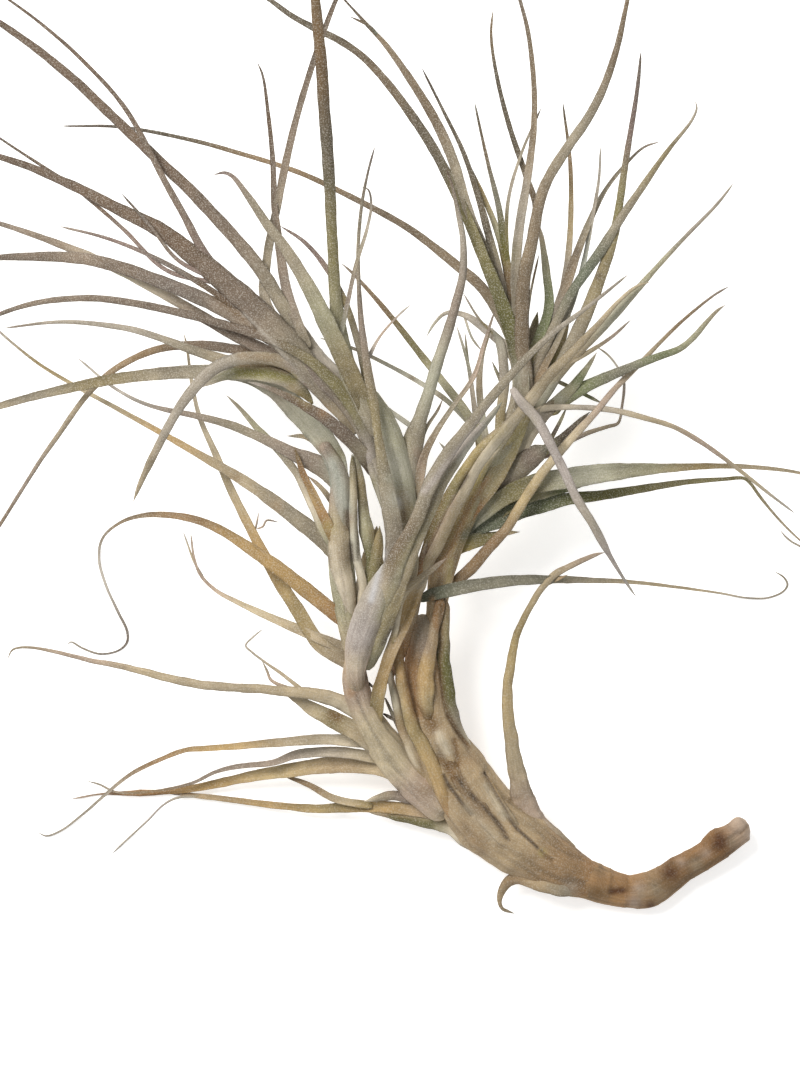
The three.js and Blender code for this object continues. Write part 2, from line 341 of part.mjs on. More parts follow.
const shootRight = {
  name: 'shoot_right',
  colour: 0x7c8370,
  sides: 8,
  stem: [
    [-49.4, 74.6, 22.4, 2.8], [-48.6, 79.6, 23.4, 3.3], [-46.3, 87, 24.8, 3.2],
    [-42.8, 95, 26.6, 3.3], [-38.6, 103, 28.4, 3.5], [-34, 110.5, 30.4, 3.4],
    [-30.2, 117.5, 32.4, 3], [-28.5, 125, 34.4, 2.6], [-28.3, 134, 36.5, 2.2],
    [-29.3, 144, 39, 1.6],
  ],
  leaves: [
    // clasping leaf bases
    [[26.5, 31, 34, 36],
      [-54.2, 80.5, 2.2, -51.4, 87.5, 3.4, -48.9, 94, 3.3, -46.4, 99.5, 3, -43.3, 104.8, 2.6,
        -39.8, 109.6, 2.6, -36, 113.5, 2.4, -31, 118, 2, -27, 121, 1.4]],
    [[26, 34, 39, 43.5, 46, 44],
      [-56, 76.6, 2, -52.8, 81.3, 2.8, -50, 85.8, 3, -47.3, 91.5, 2.9, -44.6, 97.2, 2.8,
        -41.9, 102.2, 2.6, -39.4, 106.6, 2.4, -36.6, 110.5, 2.4, -32, 116, 2.6,
        -26.5, 122.5, 3.2, -21, 129.5, 2.8, -15, 136, 2.1, -9.5, 142, 1.4, -4, 148, 1,
        0.5, 151.6, 0.7, 3.4, 152.4, 0.5]],
    [[24.4, 28, 32, 34],
      [-47.3, 76.8, 2.5, -46.3, 81.3, 2.5, -45.2, 85.5, 2.3, -44.2, 89.3, 2.1,
        -42.9, 93.5, 2, -41.2, 97.5, 1.9, -39.4, 101.8, 1.8, -37.5, 106, 1.8, -34, 111, 1]],
    [[27, 32, 34, 37],
      [-43.6, 89.5, 2, -41, 95, 3, -37.5, 100, 4, -34.4, 105, 4.4, -31, 111, 3.6,
        -28, 117, 2.2, -26.5, 120.5, 1.2]],
    [[28, 31, 33], [-38, 99, 5, -32, 103.5, 6, -26.5, 108, 5.5, -22, 111.5, 3]],
    [[30, 33, 35],
      [-33, 103, 4, -29.5, 110, 4.4, -26, 116, 4, -22, 120.5, 3.4, -18.5, 123, 2]],
    [[34, 37], [-34, 119, 2.4, -33, 128, 2.6, -34, 137, 2.2, -36, 141, 0.8]],
    [[35.2, 37], [-33.1, 126, 1, -36, 132.7, 0.6]],
    // level leaves to the right
    [[26, 32, 34, 24, 12, 5],
      [-42.6, 89.6, 1.8, -40.8, 92, 2.8, -38.2, 94.6, 3.6, -35, 97.3, 4.2, -31.5, 99.6, 4.5,
        -27, 101.5, 4.8, -23, 102.5, 5, -16, 103.5, 5.2, -9, 104.6, 4.8, -2, 105.3, 3.8,
        5, 105.8, 2.6, 12, 106.2, 1.9, 20, 106.5, 1.4, 28, 106.3, 1.2, 35, 105.7, 1,
        40.5, 104.8, 0.8, 46, 103.3, 0.5]],
    [[24, 28, 28, 20, 8, 1, 0.5, 0.5],
      [-43.4, 88.9, 2.2, -39.5, 90.7, 2.8, -35, 92.7, 4.2, -30, 95, 4.3, -24, 96.7, 4.2,
        -17, 98.3, 3.2, -10, 99, 2.6, -2, 100.2, 2.2, 6, 101.5, 1.8, 14, 102.6, 1.4,
        22, 103.2, 1, 27, 103.4, 0.9, 28.6, 102.2, 0.8, 30.5, 99.5, 0.8, 33.5, 95.7, 0.7,
        37, 91.8, 0.6, 40.6, 88.3, 0.5, 43.8, 85.6, 0.5, 44.4, 84.4, 0.5, 43.4, 84.3, 0.5,
        41, 86.4, 0.5, 39, 87.5, 0.5, 37.3, 88.9, 0.5, 36, 90.5, 0.5]],
    [[25, 29, 30],
      [-38, 92, 3, -30, 97.5, 3.4, -23, 100, 3.2, -17, 101, 2, -13, 101.5, 0.8]],
    [[24, 25, 24],
      [-46, 84.8, 3, -42.6, 87.2, 4.3, -38.7, 88.2, 3.4, -35.9, 89, 2.2, -32.4, 89.7, 1.3,
        -29, 90, 0.6]],
    // dry leaves that cross in front
    [[23, 30, 36, 40, 36, 28, 20],
      [-46, 76.4, 2.6, -43.8, 78.6, 3, -41.2, 80.9, 3, -37.6, 85, 2.8, -34.6, 88.2, 2.7,
        -32.2, 90.9, 2.5, -29.8, 95, 2.5, -26.7, 100, 2.5, -23.5, 104.8, 2.4,
        -20.5, 108.5, 2.3, -15, 114.8, 2.1, -10, 120, 1.7, -5, 126, 1.5, 0, 131, 1.3,
        6, 137.3, 1, 13, 144, 0.8, 20, 149.5, 0.6, 23.3, 151.4, 0.5]],
    [[34, 38, 38, 30, 20, 12],
      [-27, 119.8, 2, -22, 121, 1.7, -14, 121.1, 1.3, -6, 120.4, 1.5, 2, 118.6, 1.4,
        9, 116.5, 1.2, 15, 113.3, 1.3, 21, 109.2, 1.1, 26.5, 105, 1, 33, 99.8, 0.8,
        39.8, 94.6, 0.5]],
    [[38, 46, 46, 44, 38, 30],
      [-31, 126, 2, -29, 123, 2.4, -25, 118.5, 2.6, -21.5, 112.3, 2.4, -18.5, 106, 2.3,
        -15, 98.5, 2.3, -11, 92.2, 2.1, -8, 86.8, 2, -6.5, 84, 1.2, -3.5, 79, 0.8,
        0, 73.8, 0.5]],
    // right hand leaves
    [[34, 38, 38, 34, 30],
      [-22, 120, 4, -18, 123.3, 3.8, -13, 126.2, 3.1, -6, 129.3, 2.5, 0, 131.8, 2.1,
        6, 134, 1.9, 11, 135.9, 1.6, 14.5, 138.7, 1.5, 18, 142.7, 1.2, 20.3, 145.2, 0.9,
        22.4, 146.8, 0.5]],
    [[34, 38, 42],
      [-22, 119.5, 3.2, -18.5, 123.5, 3, -16, 126, 2.6, -13, 130, 1.6, -9.8, 134.9, 0.5]],
    [[32, 36, 36], [-24, 109.5, 3, -19, 113.2, 1.8, -15, 116.8, 1.4, -11.5, 120, 0.8]],
    [[31, 34, 30, 34, 36],
      [-24, 109, 3, -18, 112, 1.5, -12, 114.7, 1.2, -7, 116.3, 1, -4.6, 117, 0.8,
        -3.9, 118.3, 0.7, -3.5, 121, 0.7, -3, 125, 0.7, -3.1, 128.3, 0.6, -4.6, 131.2, 0.5,
        -7, 134.2, 0.5, -10, 136.4, 0.5]],
    [[36, 34, 34], [-26.5, 130, 1.2, -20, 127.8, 1, -14.5, 125.2, 1, -8.5, 122.2, 0.8]],
    [[31, 33, 34], [-23, 110, 1.4, -19, 117.5, 0.9, -17.3, 121.2, 0.6]],
    // long leaves of the crown
    [[38, 46, 46, 40, 30, 18],
      [-30, 136, 4, -33.5, 147, 3.5, -37.5, 157, 2.9, -43, 170.3, 2.6, -50, 184.7, 2.5,
        -56, 194, 2.3, -62, 202, 2, -68, 208.5, 1.8, -74, 212.8, 1.8, -80.5, 216, 1.7,
        -86, 219, 1.4, -91.5, 223, 1.2, -99, 228, 0.6]],
    [[38, 46, 44, 38, 32],
      [-31, 139, 2.4, -36.5, 157, 2.3, -41.8, 170, 2.3, -46, 183.5, 2.6, -50.5, 193.5, 2.4,
        -57, 204, 1.9, -62.5, 211.7, 1.4, -67, 216.6, 1, -71, 221, 0.6, -75, 225.3, 0.5]],
    [[36, 35], [-62.5, 211.7, 0.8, -66.5, 216.3, 0.8, -69, 217.7, 0.6, -71.7, 218.9, 0.5]],
    [[38, 44, 42, 38],
      [-30.5, 140, 2.4, -36.5, 163, 2, -39.8, 175, 1.5, -43.5, 185.7, 1.1, -48, 195, 0.8,
        -53.5, 206, 0.5]],
    [[38, 42, 42], [-30, 142, 1.8, -34.3, 164, 1.6, -38, 173.5, 1.3, -44, 186, 0.6]],
    [[38, 46, 50],
      [-29.5, 140, 2.2, -32.7, 160, 1.8, -34.3, 171, 1.5, -37.1, 182.5, 0.9,
        -40.3, 197.3, 0.5]],
    [[40, 46, 50, 52],
      [-29.3, 142, 1.4, -25, 170.5, 1.6, -27.3, 178.5, 1.5, -31.5, 191, 1.3, -34.6, 203, 1,
        -36.2, 214, 0.7, -35.8, 220.3, 0.5]],
    [[38, 48, 54, 50, 40],
      [-29, 138, 3, -30, 155, 2.6, -29, 167, 2.3, -26.9, 180, 1.9, -25.5, 192, 1.5,
        -25.6, 203, 1.3, -27, 215, 1.1, -29, 223, 0.9, -31.5, 231.5, 0.5]],
    [[42.5, 49, 50], [-32.1, 155, 1, -32, 172.5, 0.9, -28.5, 185, 0.7, -23.7, 196, 0.5]],
    [[38, 50, 56, 52, 44],
      [-28.5, 136, 3.6, -28, 152, 3.4, -25.6, 164, 2.9, -23, 176, 2.6, -17, 186.5, 2.5,
        -12, 193.5, 2.3, -8, 201.5, 2, -4.8, 211, 1.6, -2.7, 220, 1.2, 0, 234, 0.5]],
    [[38, 44, 48],
      [-20.5, 139, 2, -17, 158.5, 1.6, -16.3, 170, 1.3, -16.5, 183, 1, -18.3, 197.5, 0.5]],
    [[35, 42, 44, 40, 36],
      [-25, 121, 3, -18.5, 132, 3.4, -13, 143.5, 3.4, -8.5, 155, 2.8, -5.8, 163, 2.4,
        -4, 173, 1.9, -2.5, 183, 1.6, -0.8, 193, 1.3, 0.7, 203, 1, 1.3, 210.3, 0.5]],
    [[36, 42, 44, 40, 34],
      [-27, 129, 3, -21, 141, 3.1, -17.5, 151.5, 2.6, -14.6, 160, 2, -11, 169, 1.5,
        -7.5, 175.7, 1.1, -2.5, 182, 0.8, 2, 186.2, 0.6, 6, 187.6, 0.5]],
    [[39, 42, 44],
      [-20, 137, 1.6, -14, 153.5, 1.3, -11, 168, 1, -9.3, 178, 0.7, -8.8, 186.3, 0.5]],
    [[37, 44, 44, 38],
      [-24, 133, 2.4, -16, 150.2, 2.4, -9, 160, 2.6, -3.5, 168.7, 2.1, 2.5, 177.5, 1.7,
        8.5, 186, 1.1, 14, 193, 0.7, 15.2, 196, 0.6, 14.8, 197.8, 0.5]],
    [[35, 42, 40, 34],
      [-25.5, 122, 3, -16, 133.6, 3, -8, 141.7, 2.6, -2, 148, 1.9, 5, 156, 1.3, 13, 164.5, 1,
        20, 171.7, 0.8, 24.4, 177.2, 0.5]],
    [[39, 40], [-20.5, 130.5, 1.4, -13, 134.3, 1.2, -6, 138.8, 0.8, -1.3, 143, 0.5]],
    [[37, 36, 34, 30],
      [-31, 134, 2.5, -38, 141, 2.2, -43, 144.3, 1.5, -47.5, 144.7, 1, -50.5, 142, 0.7,
        -52.4, 138.8, 0.5]],
    [[34.6, 36], [-43, 144.2, 0.6, -41, 138.5, 0.6, -38.5, 135.2, 0.6]],
    [[37, 37], [-33.5, 137.5, 0.6, -39, 143, 0.6, -43.2, 149.7, 0.5]],
    [[31, 35, 36], [-39, 110, 1.8, -40.5, 122, 1.3, -42, 132, 0.9, -44.8, 141.5, 0.5]],
    [[34.5, 36], [-40.6, 122, 0.8, -42, 133, 0.6, -42.8, 140, 0.5]],
    [[31, 36, 37], [-37, 110, 1.8, -39.2, 126, 1.7, -38.5, 134, 1.2, -36.5, 140.5, 0.8]],
    [[37, 42, 46], [-26, 134, 2.6, -21.8, 146, 2.4, -22.4, 155, 2, -24, 166.3, 1]],
    [[38, 39, 40], [-28, 138, 0.8, -26.3, 150, 0.6, -24.3, 159.3, 0.5]],
    [[30, 34, 32, 30],
      [-37, 109, 2.4, -42, 119, 2.3, -48, 127.2, 2, -53, 133.3, 1.8, -59, 141, 1.5,
        -65, 148.3, 1.2, -71, 154.8, 0.7, -73.7, 157.2, 0.5]],
    [[32, 34, 34, 34],
      [-38.5, 114, 1.6, -47, 122.6, 1.3, -54, 127.3, 1.2, -63, 132.2, 1, -71, 136, 0.8,
        -79, 138.5, 0.5]],
    [[37, 36, 28, 16, 4],
      [-31, 138, 2.8, -38, 150.5, 2.7, -45, 156.7, 2.4, -56, 165.3, 1.8, -69, 172.6, 1.5,
        -85, 180.2, 1.3, -100, 185, 1.2, -115, 188.8, 1, -130, 191.3, 0.8, -143.7, 191.5, 0.5]],
  ],
};

// Moves a raised point toward the axis of the eye, so that it stays where it is seen.
function seen(x, y, z) {
  const shrink = 1 - z / EYE_HEIGHT;
  return new THREE.Vector3(EYE_X + (x - EYE_X) * shrink, EYE_Y + (y - EYE_Y) * shrink, z);
}

// Smooth value at t from 0 to 1 through evenly spaced values.
function along(values, t) {
  const last = values.length - 1;
  const i = Math.min(Math.floor(t * last), last - 1);
  const f = t * last - i;
  const b = values[i];
  const c = values[i + 1];
  const a = i > 0 ? values[i - 1] : b;
  const d = i + 2 <= last ? values[i + 2] : c;
  const cubic = (3 * b - a - 3 * c + d) * f * f * f + (2 * a - 5 * b + 4 * c - d) * f * f;
  return 0.5 * (2 * b + (c - a) * f + cubic);
}

// Rings at the given points, with one more between points that lie far apart.
function rings(points, sizes) {
  const curve = new THREE.CatmullRomCurve3(points, false, 'centripetal');
  const last = points.length - 1;
  const list = [];
  points.forEach((point, i) => {
    list.push({ at: point, size: sizes[i], u: i / last });
    if (i < last && point.distanceTo(points[i + 1]) > LONG_STEP) {
      const u = (i + 0.5) / last;
      list.push({ at: curve.getPoint(u), size: (sizes[i] + sizes[i + 1]) / 2, u });
    }
  });
  list.forEach((ring) => {
    ring.along = curve.getTangent(ring.u);
    ring.side = new THREE.Vector3().crossVectors(ring.along, new THREE.Vector3(0, 0, 1));
    ring.side.normalize();
    ring.up = new THREE.Vector3().crossVectors(ring.side, ring.along);
  });
  return list;
}

// Closed body through rings of equal point counts.
function loft(sections) {
  const count = sections[0].length;
  const positions = sections.flat().flatMap((p) => [p.x, p.y, p.z]);
  const index = [];
  for (let r = 0; r + 1 < sections.length; r += 1) {
    for (let k = 0; k < count; k += 1) {
      const a = r * count + k;
      const b = r * count + ((k + 1) % count);
      index.push(a, a + count, b, b, a + count, b + count);
    }
  }
  const end = (sections.length - 1) * count;
  for (let k = 1; k + 1 < count; k += 1) {
    index.push(0, k, k + 1, end, end + k + 1, end + k);
  }
  const geometry = new THREE.BufferGeometry();
  geometry.setAttribute('position', new THREE.Float32BufferAttribute(positions, 3));
  geometry.setIndex(index);
  return solid(geometry);
}

// Turns a closed geometry into a solid that can be joined and cut.
function solid(geometry) {
  geometry.deleteAttribute('normal');
  geometry.deleteAttribute('uv');
  const merged = mergeVertices(geometry);
  return new Manifold(new Mesh({
    numProp: 3,
    vertProperties: new Float32Array(merged.attributes.position.array),
    triVerts: new Uint32Array(merged.index.array),
  }));
}

// Lengthens both ends of a list of rings by a margin.
function stretch(list, margin) {
  if (margin === 0) return;
  const first = list[0];
  const last = list[list.length - 1];
  first.at = first.at.clone().addScaledVector(first.along, -margin);
  last.at = last.at.clone().addScaledVector(last.along, margin);
}

// A blade is a shallow channel with a keel under it.
function blade([lift, run], margin = 0) {
  const plan = [];
  const widths = [];
  for (let i = 0; i < run.length; i += 3) {
    plan.push(new THREE.Vector2(run[i], run[i + 1]));
    widths.push(run[i + 2]);
  }
  const reach = [0];
  plan.slice(1).forEach((p, i) => reach.push(reach[i] + p.distanceTo(plan[i])));
  const total = reach[reach.length - 1];
  const points = plan.map((p, i) => seen(p.x, p.y, along(lift, reach[i] / total)));
  const list = rings(points, widths);
  stretch(list, margin);
  return loft(list.map(({ at, size, side, up }) => {
    const half = size / 2 + margin;
    const channel = -CHANNEL * size + margin;
    const keel = -CHANNEL * size - BLADE_MIN - BLADE_GAIN * size - margin;
    return [
      at.clone().addScaledVector(side, -half),
      at.clone().addScaledVector(up, keel),
      at.clone().addScaledVector(side, half),
      at.clone().addScaledVector(up, channel),
    ];
  }));
}

// A stem is round, with its flat sides below and above.
function tube(stem, sides, margin = 0) {
  const points = stem.map(([x, y, z]) => seen(x, y, z));
  const list = rings(points, stem.map((p) => p[3]));
  stretch(list, margin);
  return loft(list.map(({ at, size, side, up }) => {
    const ring = [];
    for (let k = 0; k < sides; k += 1) {
      const turn = (2 * Math.PI * (k + 0.5)) / sides;
      const p = at.clone().addScaledVector(side, -(size + margin) * Math.sin(turn));
      ring.push(p.addScaledVector(up, (size + margin) * Math.cos(turn)));
    }
    return ring;
  }));
}

function joined(plant, margin) {
  const bodies = plant.leaves.map((leaf) => blade(leaf, margin));
  const trunk = tube(plant.stem, plant.sides, margin);
  return bodies.reduce((whole, body) => whole.add(body), trunk);
}

const slab = new THREE.BoxGeometry(GROUND * 2, GROUND * 2, GROUND_DEPTH);
slab.translate(0, GROUND / 4, -GROUND_DEPTH / 2);
const ground = solid(slab);

const plants = [
  woodyStem, oldStem, shootLowLeft, shootLeft, shootCentre, shootUpperLeft, shootFront, shootRight,
];
const group = new THREE.Group();
let taken = null;

plants.forEach((plant) => {
  let body = joined(plant, 0).subtract(ground);
  if (taken) body = body.subtract(taken);
  const room = joined(plant, GAP);
  taken = taken ? taken.add(room) : room;
  const pieces = body.simplify(FINEST).decompose().sort((a, b) => b.volume() - a.volume());
  const { vertProperties, triVerts } = pieces[0].getMesh();
  const geometry = new THREE.BufferGeometry();
  geometry.setAttribute('position', new THREE.BufferAttribute(vertProperties, 3));
  geometry.setIndex(new THREE.BufferAttribute(triVerts, 1));
  geometry.computeVertexNormals();
  const material = new THREE.MeshStandardMaterial({
    color: plant.colour,
    roughness: 0.85,
    metalness: 0,
  });
  const mesh = new THREE.Mesh(geometry, material);
  mesh.name = plant.name;
  group.add(mesh);
});

export default group;
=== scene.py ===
import bpy
import numpy as np
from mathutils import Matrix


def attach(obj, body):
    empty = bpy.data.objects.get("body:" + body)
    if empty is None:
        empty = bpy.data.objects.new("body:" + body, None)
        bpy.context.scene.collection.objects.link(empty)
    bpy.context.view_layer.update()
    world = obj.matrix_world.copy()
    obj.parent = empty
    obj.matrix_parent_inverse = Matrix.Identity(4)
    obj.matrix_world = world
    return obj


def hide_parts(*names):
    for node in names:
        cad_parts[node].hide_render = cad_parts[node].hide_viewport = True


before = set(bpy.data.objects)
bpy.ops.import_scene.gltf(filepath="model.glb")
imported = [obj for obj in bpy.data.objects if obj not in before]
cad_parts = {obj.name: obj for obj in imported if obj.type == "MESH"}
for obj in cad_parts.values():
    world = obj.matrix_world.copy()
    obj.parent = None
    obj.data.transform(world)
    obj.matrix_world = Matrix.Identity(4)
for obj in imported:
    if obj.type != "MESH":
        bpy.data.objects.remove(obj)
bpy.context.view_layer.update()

# Woody stub: the bare old end of the stem, with leaf scars all round and a pale cut end.
# It is thin grey-brown bark over wood, worn smooth on its high places.
# It grew lying down, so it rests on its elbow, and its scars are rings of darker cork.


def tint_of(text):
    """An sRGB hex colour as linear red, green and blue."""
    srgb = np.array([int(text[i : i + 2], 16) for i in (0, 2, 4)]) / 255
    return np.where(srgb <= 0.04045, srgb / 12.92, ((srgb + 0.055) / 1.055) ** 2.4)


TINTS = {
    "cream": tint_of("c6baa2"),
    "buff": tint_of("b6a789"),
    "tan": tint_of("a8987b"),
    "taupe": tint_of("9a8c74"),
    "straw": tint_of("ae9a72"),
    "khaki": tint_of("94825a"),
    "ochre": tint_of("a98e61"),
    "rust": tint_of("9f7a52"),
    "bark": tint_of("887255"),
    "umber": tint_of("6a5439"),
    "soot": tint_of("4d4237"),
    "slate": tint_of("6b6056"),
    "mauve": tint_of("897b6d"),
    "plum": tint_of("7c6a61"),
    "rose": tint_of("a99582"),
    "lilac": tint_of("a29890"),
    "pearl": tint_of("b4aca0"),
    "ash": tint_of("9f9585"),
    "stone": tint_of("8c826e"),
    "olive": tint_of("877a59"),
    "moss": tint_of("79714c"),
    "vivid": tint_of("7d763a"),
    "fern": tint_of("737856"),
    "forest": tint_of("53583f"),
    "sage": tint_of("989377"),
    "silver": tint_of("a6a38e"),
    "mist": tint_of("b4b09e"),
    "dew": tint_of("a6a99c"),
    # Used only for painted highlights.
    "highlight_haze": tint_of("b5b4b5"),
    "pine": tint_of("5c614f"),
    "loden": tint_of("5f5c34"),
    "peat": tint_of("6b4f2c"),
    "honey": tint_of("92704a"),
    "wheat": tint_of("b0a068"),
    "fawn": tint_of("a38e6e"),
    "hazel": tint_of("8c7252"),
    "amber": tint_of("9a7f52"),
    "loam": tint_of("7f6f59"),
    "drab": tint_of("6e5f4b"),
    "dusk": tint_of("5f4e3e"),
    "moor": tint_of("5d5444"),
    "lichen": tint_of("767261"),
    "mocha": tint_of("482a13"),
    "acorn": tint_of("7f5f3c"),
    "heath": tint_of("6d5f51"),
    "fallow": tint_of("7f705f"),
}
EYE = np.array([-59, 89.6])
EYE_HEIGHT = 1500


def seen(plan, height):
    """Points whose plan is what the camera sees: each moves towards the eye's foot by its height's share."""
    shrink = 1 - height[:, None] / EYE_HEIGHT
    return np.column_stack([EYE + (plan - EYE) * shrink, height])


def path(points, sizes, step):
    """Centripetal Catmull-Rom curve through the points, one sample every step mm, with the sizes between."""
    ends = [2 * points[0] - points[1], 2 * points[-1] - points[-2]]
    p = np.vstack([ends[:1], points, ends[1:]])
    gap = np.linalg.norm(np.diff(p, axis=0), axis=1) ** 0.5
    places, widths = [], []
    for i in range(len(points) - 1):
        count = max(2, int(np.ceil(gap[i + 1] ** 2 / step)))
        t = np.arange(count)[:, None] / count
        a, b, c, d = p[i : i + 4]
        g, h, k = gap[i : i + 3]
        leave = h * ((b - a) / g - (c - a) / (g + h) + (c - b) / h)
        reach = h * ((c - b) / h - (d - b) / (h + k) + (d - c) / k)
        cubic = (2 * b - 2 * c + leave + reach) * t**3 + (3 * c - 3 * b - 2 * leave - reach) * t**2
        places.append(cubic + leave * t + b)
        widths.append(sizes[i] + (sizes[i + 1] - sizes[i]) * t[:, 0])
    return np.vstack([*places, points[-1:]]), np.concatenate([*widths, sizes[-1:]])


def frames(places):
    """Along, side and up at each place: side is level, and up leans with the path."""
    ahead = np.gradient(places, axis=0)
    ahead /= np.linalg.norm(ahead, axis=1)[:, None]
    side = np.cross(ahead, [0, 0, 1])
    side /= np.linalg.norm(side, axis=1)[:, None]
    return ahead, side, np.cross(side, ahead)


def ripple(t, wave, rng):
    """Smooth noise of about unit size along t: four sines of random phase, each shorter and smaller."""
    phase = rng.uniform(0, 2 * np.pi, 4)
    return sum(np.sin(2 * np.pi * t * 1.7**k / wave + phase[k]) / (1.3 + k) for k in range(4))


def colours(names, share):
    """Tints at equal shares of the way, eased from one to the next."""
    stops = np.array([TINTS[name] for name in names.split()])
    place = share * (len(stops) - 1)
    low = np.minimum(place.astype(int), len(stops) - 2)
    ease = place - low
    ease = (ease * ease * (3 - 2 * ease))[..., None]
    return stops[low] * (1 - ease) + stops[low + 1] * ease


def stem(run, names, sides, seed, scars=0.0, step=0.42):
    """Round stem: the run's radius, times one plus lengthwise wrinkles, slow lumps and ring scars.

    The wrinkles are sines of the turn that drift along the stem, and both ends are rounded off.
    """
    rng = np.random.default_rng(seed)
    run = np.array(run, float)
    places, radius = path(seen(run[:, :2], run[:, 2]), run[:, 3], step)
    ahead, side, up = frames(places)
    length = np.r_[0, np.cumsum(np.linalg.norm(np.diff(places, axis=0), axis=1))]
    turn = 2 * np.pi * np.arange(sides) / sides
    t, a = np.meshgrid(length, turn, indexing="ij")
    wrinkle = sum(
        np.sin(n * a + 1.3 * ripple(t, 60, rng)) * 0.015 / (1 + 0.3 * k) for k, n in enumerate((4, 7, 12, 19))
    )
    lump = 0.02 * ripple(t, 26, rng) + 0.015 * np.sin(2 * a + 2 * ripple(t, 24, rng))
    band = (t + 0.8 * np.sin(a + 0.2 * t) + 0.5 * ripple(t, 9, rng)) / 3.7
    ring = np.exp(-((band % 1 - 0.5) ** 2) / 0.02) * (0.6 + 0.4 * np.sin(a + 5 * np.floor(band)))
    near = np.minimum(length, length[-1] - length) / (0.7 * radius)
    cap = np.sqrt(np.clip(1 - (1 - np.minimum(near, 1)) ** 2, 0.0004, 1))[:, None]
    r = radius[:, None] * cap * (1 + wrinkle + lump + scars * ring)
    swing = np.sin(a)[..., None] * side[:, None] + np.cos(a)[..., None] * up[:, None]
    at = places[:, None] + r[..., None] * swing
    tint = colours(names, np.broadcast_to((length / length[-1])[:, None], t.shape))
    # Painted shade: the hollows of the wrinkles are darkened by up to 30 %; the ring scars are darker cork.
    dark = 0.3 * np.clip(-wrinkle / 0.03, 0, 1) + 5 * scars * np.clip(ring, 0, 1)
    tint = tint * (1 - dark[..., None])
    grain = np.stack([r * a, t, np.full_like(t, seed)], axis=2)
    return at, tint, grain


def mesh(name, parts, marks=(), lines=()):
    """One mesh of closed grids, each rings by points round, with its tints and grain.

    A mark tints what the eye sees near its point, and a line what it sees near its run of points, which
    it also sinks by its depth in mm: both fall off as exp of minus the square of distance over reach.
    """
    corners, tints, grains, faces, start = [], [], [], [], 0
    for at, tint, grain in parts:
        rows, count = at.shape[:2]
        k = np.arange(rows * count).reshape(rows, count) + start
        after = np.roll(k, -1, axis=1)
        quads = np.stack([k[:-1], after[:-1], after[1:], k[1:]], axis=2).reshape(-1, 4)
        faces += quads.tolist() + [k[0][::-1].tolist(), k[-1].tolist()]
        corners.append(at.reshape(-1, 3))
        tints.append(tint.reshape(-1, 3))
        grains.append(grain.reshape(-1, 3))
        start += rows * count
    corners, tints, grains = np.vstack(corners), np.vstack(tints), np.vstack(grains)
    plan = EYE + (corners[:, :2] - EYE) / (1 - corners[:, 2:] / EYE_HEIGHT)
    sunk = np.zeros(len(corners))
    strokes = [(0, reach, colour, strength, [x, y, x + 0.01, y]) for x, y, reach, colour, strength in marks]
    for depth, reach, colour, strength, run in [*strokes, *lines]:
        knots = np.array(run, float).reshape(-1, 2)
        away = np.full(len(plan), np.inf)
        for p, q in zip(knots, knots[1:]):
            share = np.clip((plan - p) @ (q - p) / ((q - p) @ (q - p)), 0, 1)[:, None]
            away = np.minimum(away, np.linalg.norm(plan - p - share * (q - p), axis=1))
        weight = np.exp(-((away / reach) ** 2))
        sunk += depth * weight
        weight = (strength * weight)[:, None]
        tints = tints * (1 - weight) + TINTS[colour] * weight
    corners[:, 2] = np.maximum(corners[:, 2] - sunk, 0.02)
    made = bpy.data.meshes.new(name)
    made.from_pydata(corners / 1000, [], faces)
    made.polygons.foreach_set("use_smooth", np.ones(len(faces), bool))
    paint = made.attributes.new("tint", "FLOAT_COLOR", "POINT")
    paint.data.foreach_set("color", np.column_stack([tints, np.ones(len(tints))]).ravel())
    fibre = made.attributes.new("grain", "FLOAT_VECTOR", "POINT")
    fibre.data.foreach_set("vector", grains.ravel())
    piece = bpy.data.objects.new(name, made)
    bpy.context.scene.collection.objects.link(piece)
    return piece


def add(tree, kind, inputs=(), **settings):
    """Adds a node with its settings, and links or sets its inputs."""
    made = tree.nodes.new(kind)
    for key, value in settings.items():
        setattr(made, key, value)
    for socket, value in inputs:
        if isinstance(value, bpy.types.NodeSocket):
            tree.links.new(value, made.inputs[socket])
        else:
            made.inputs[socket].default_value = value
    return made


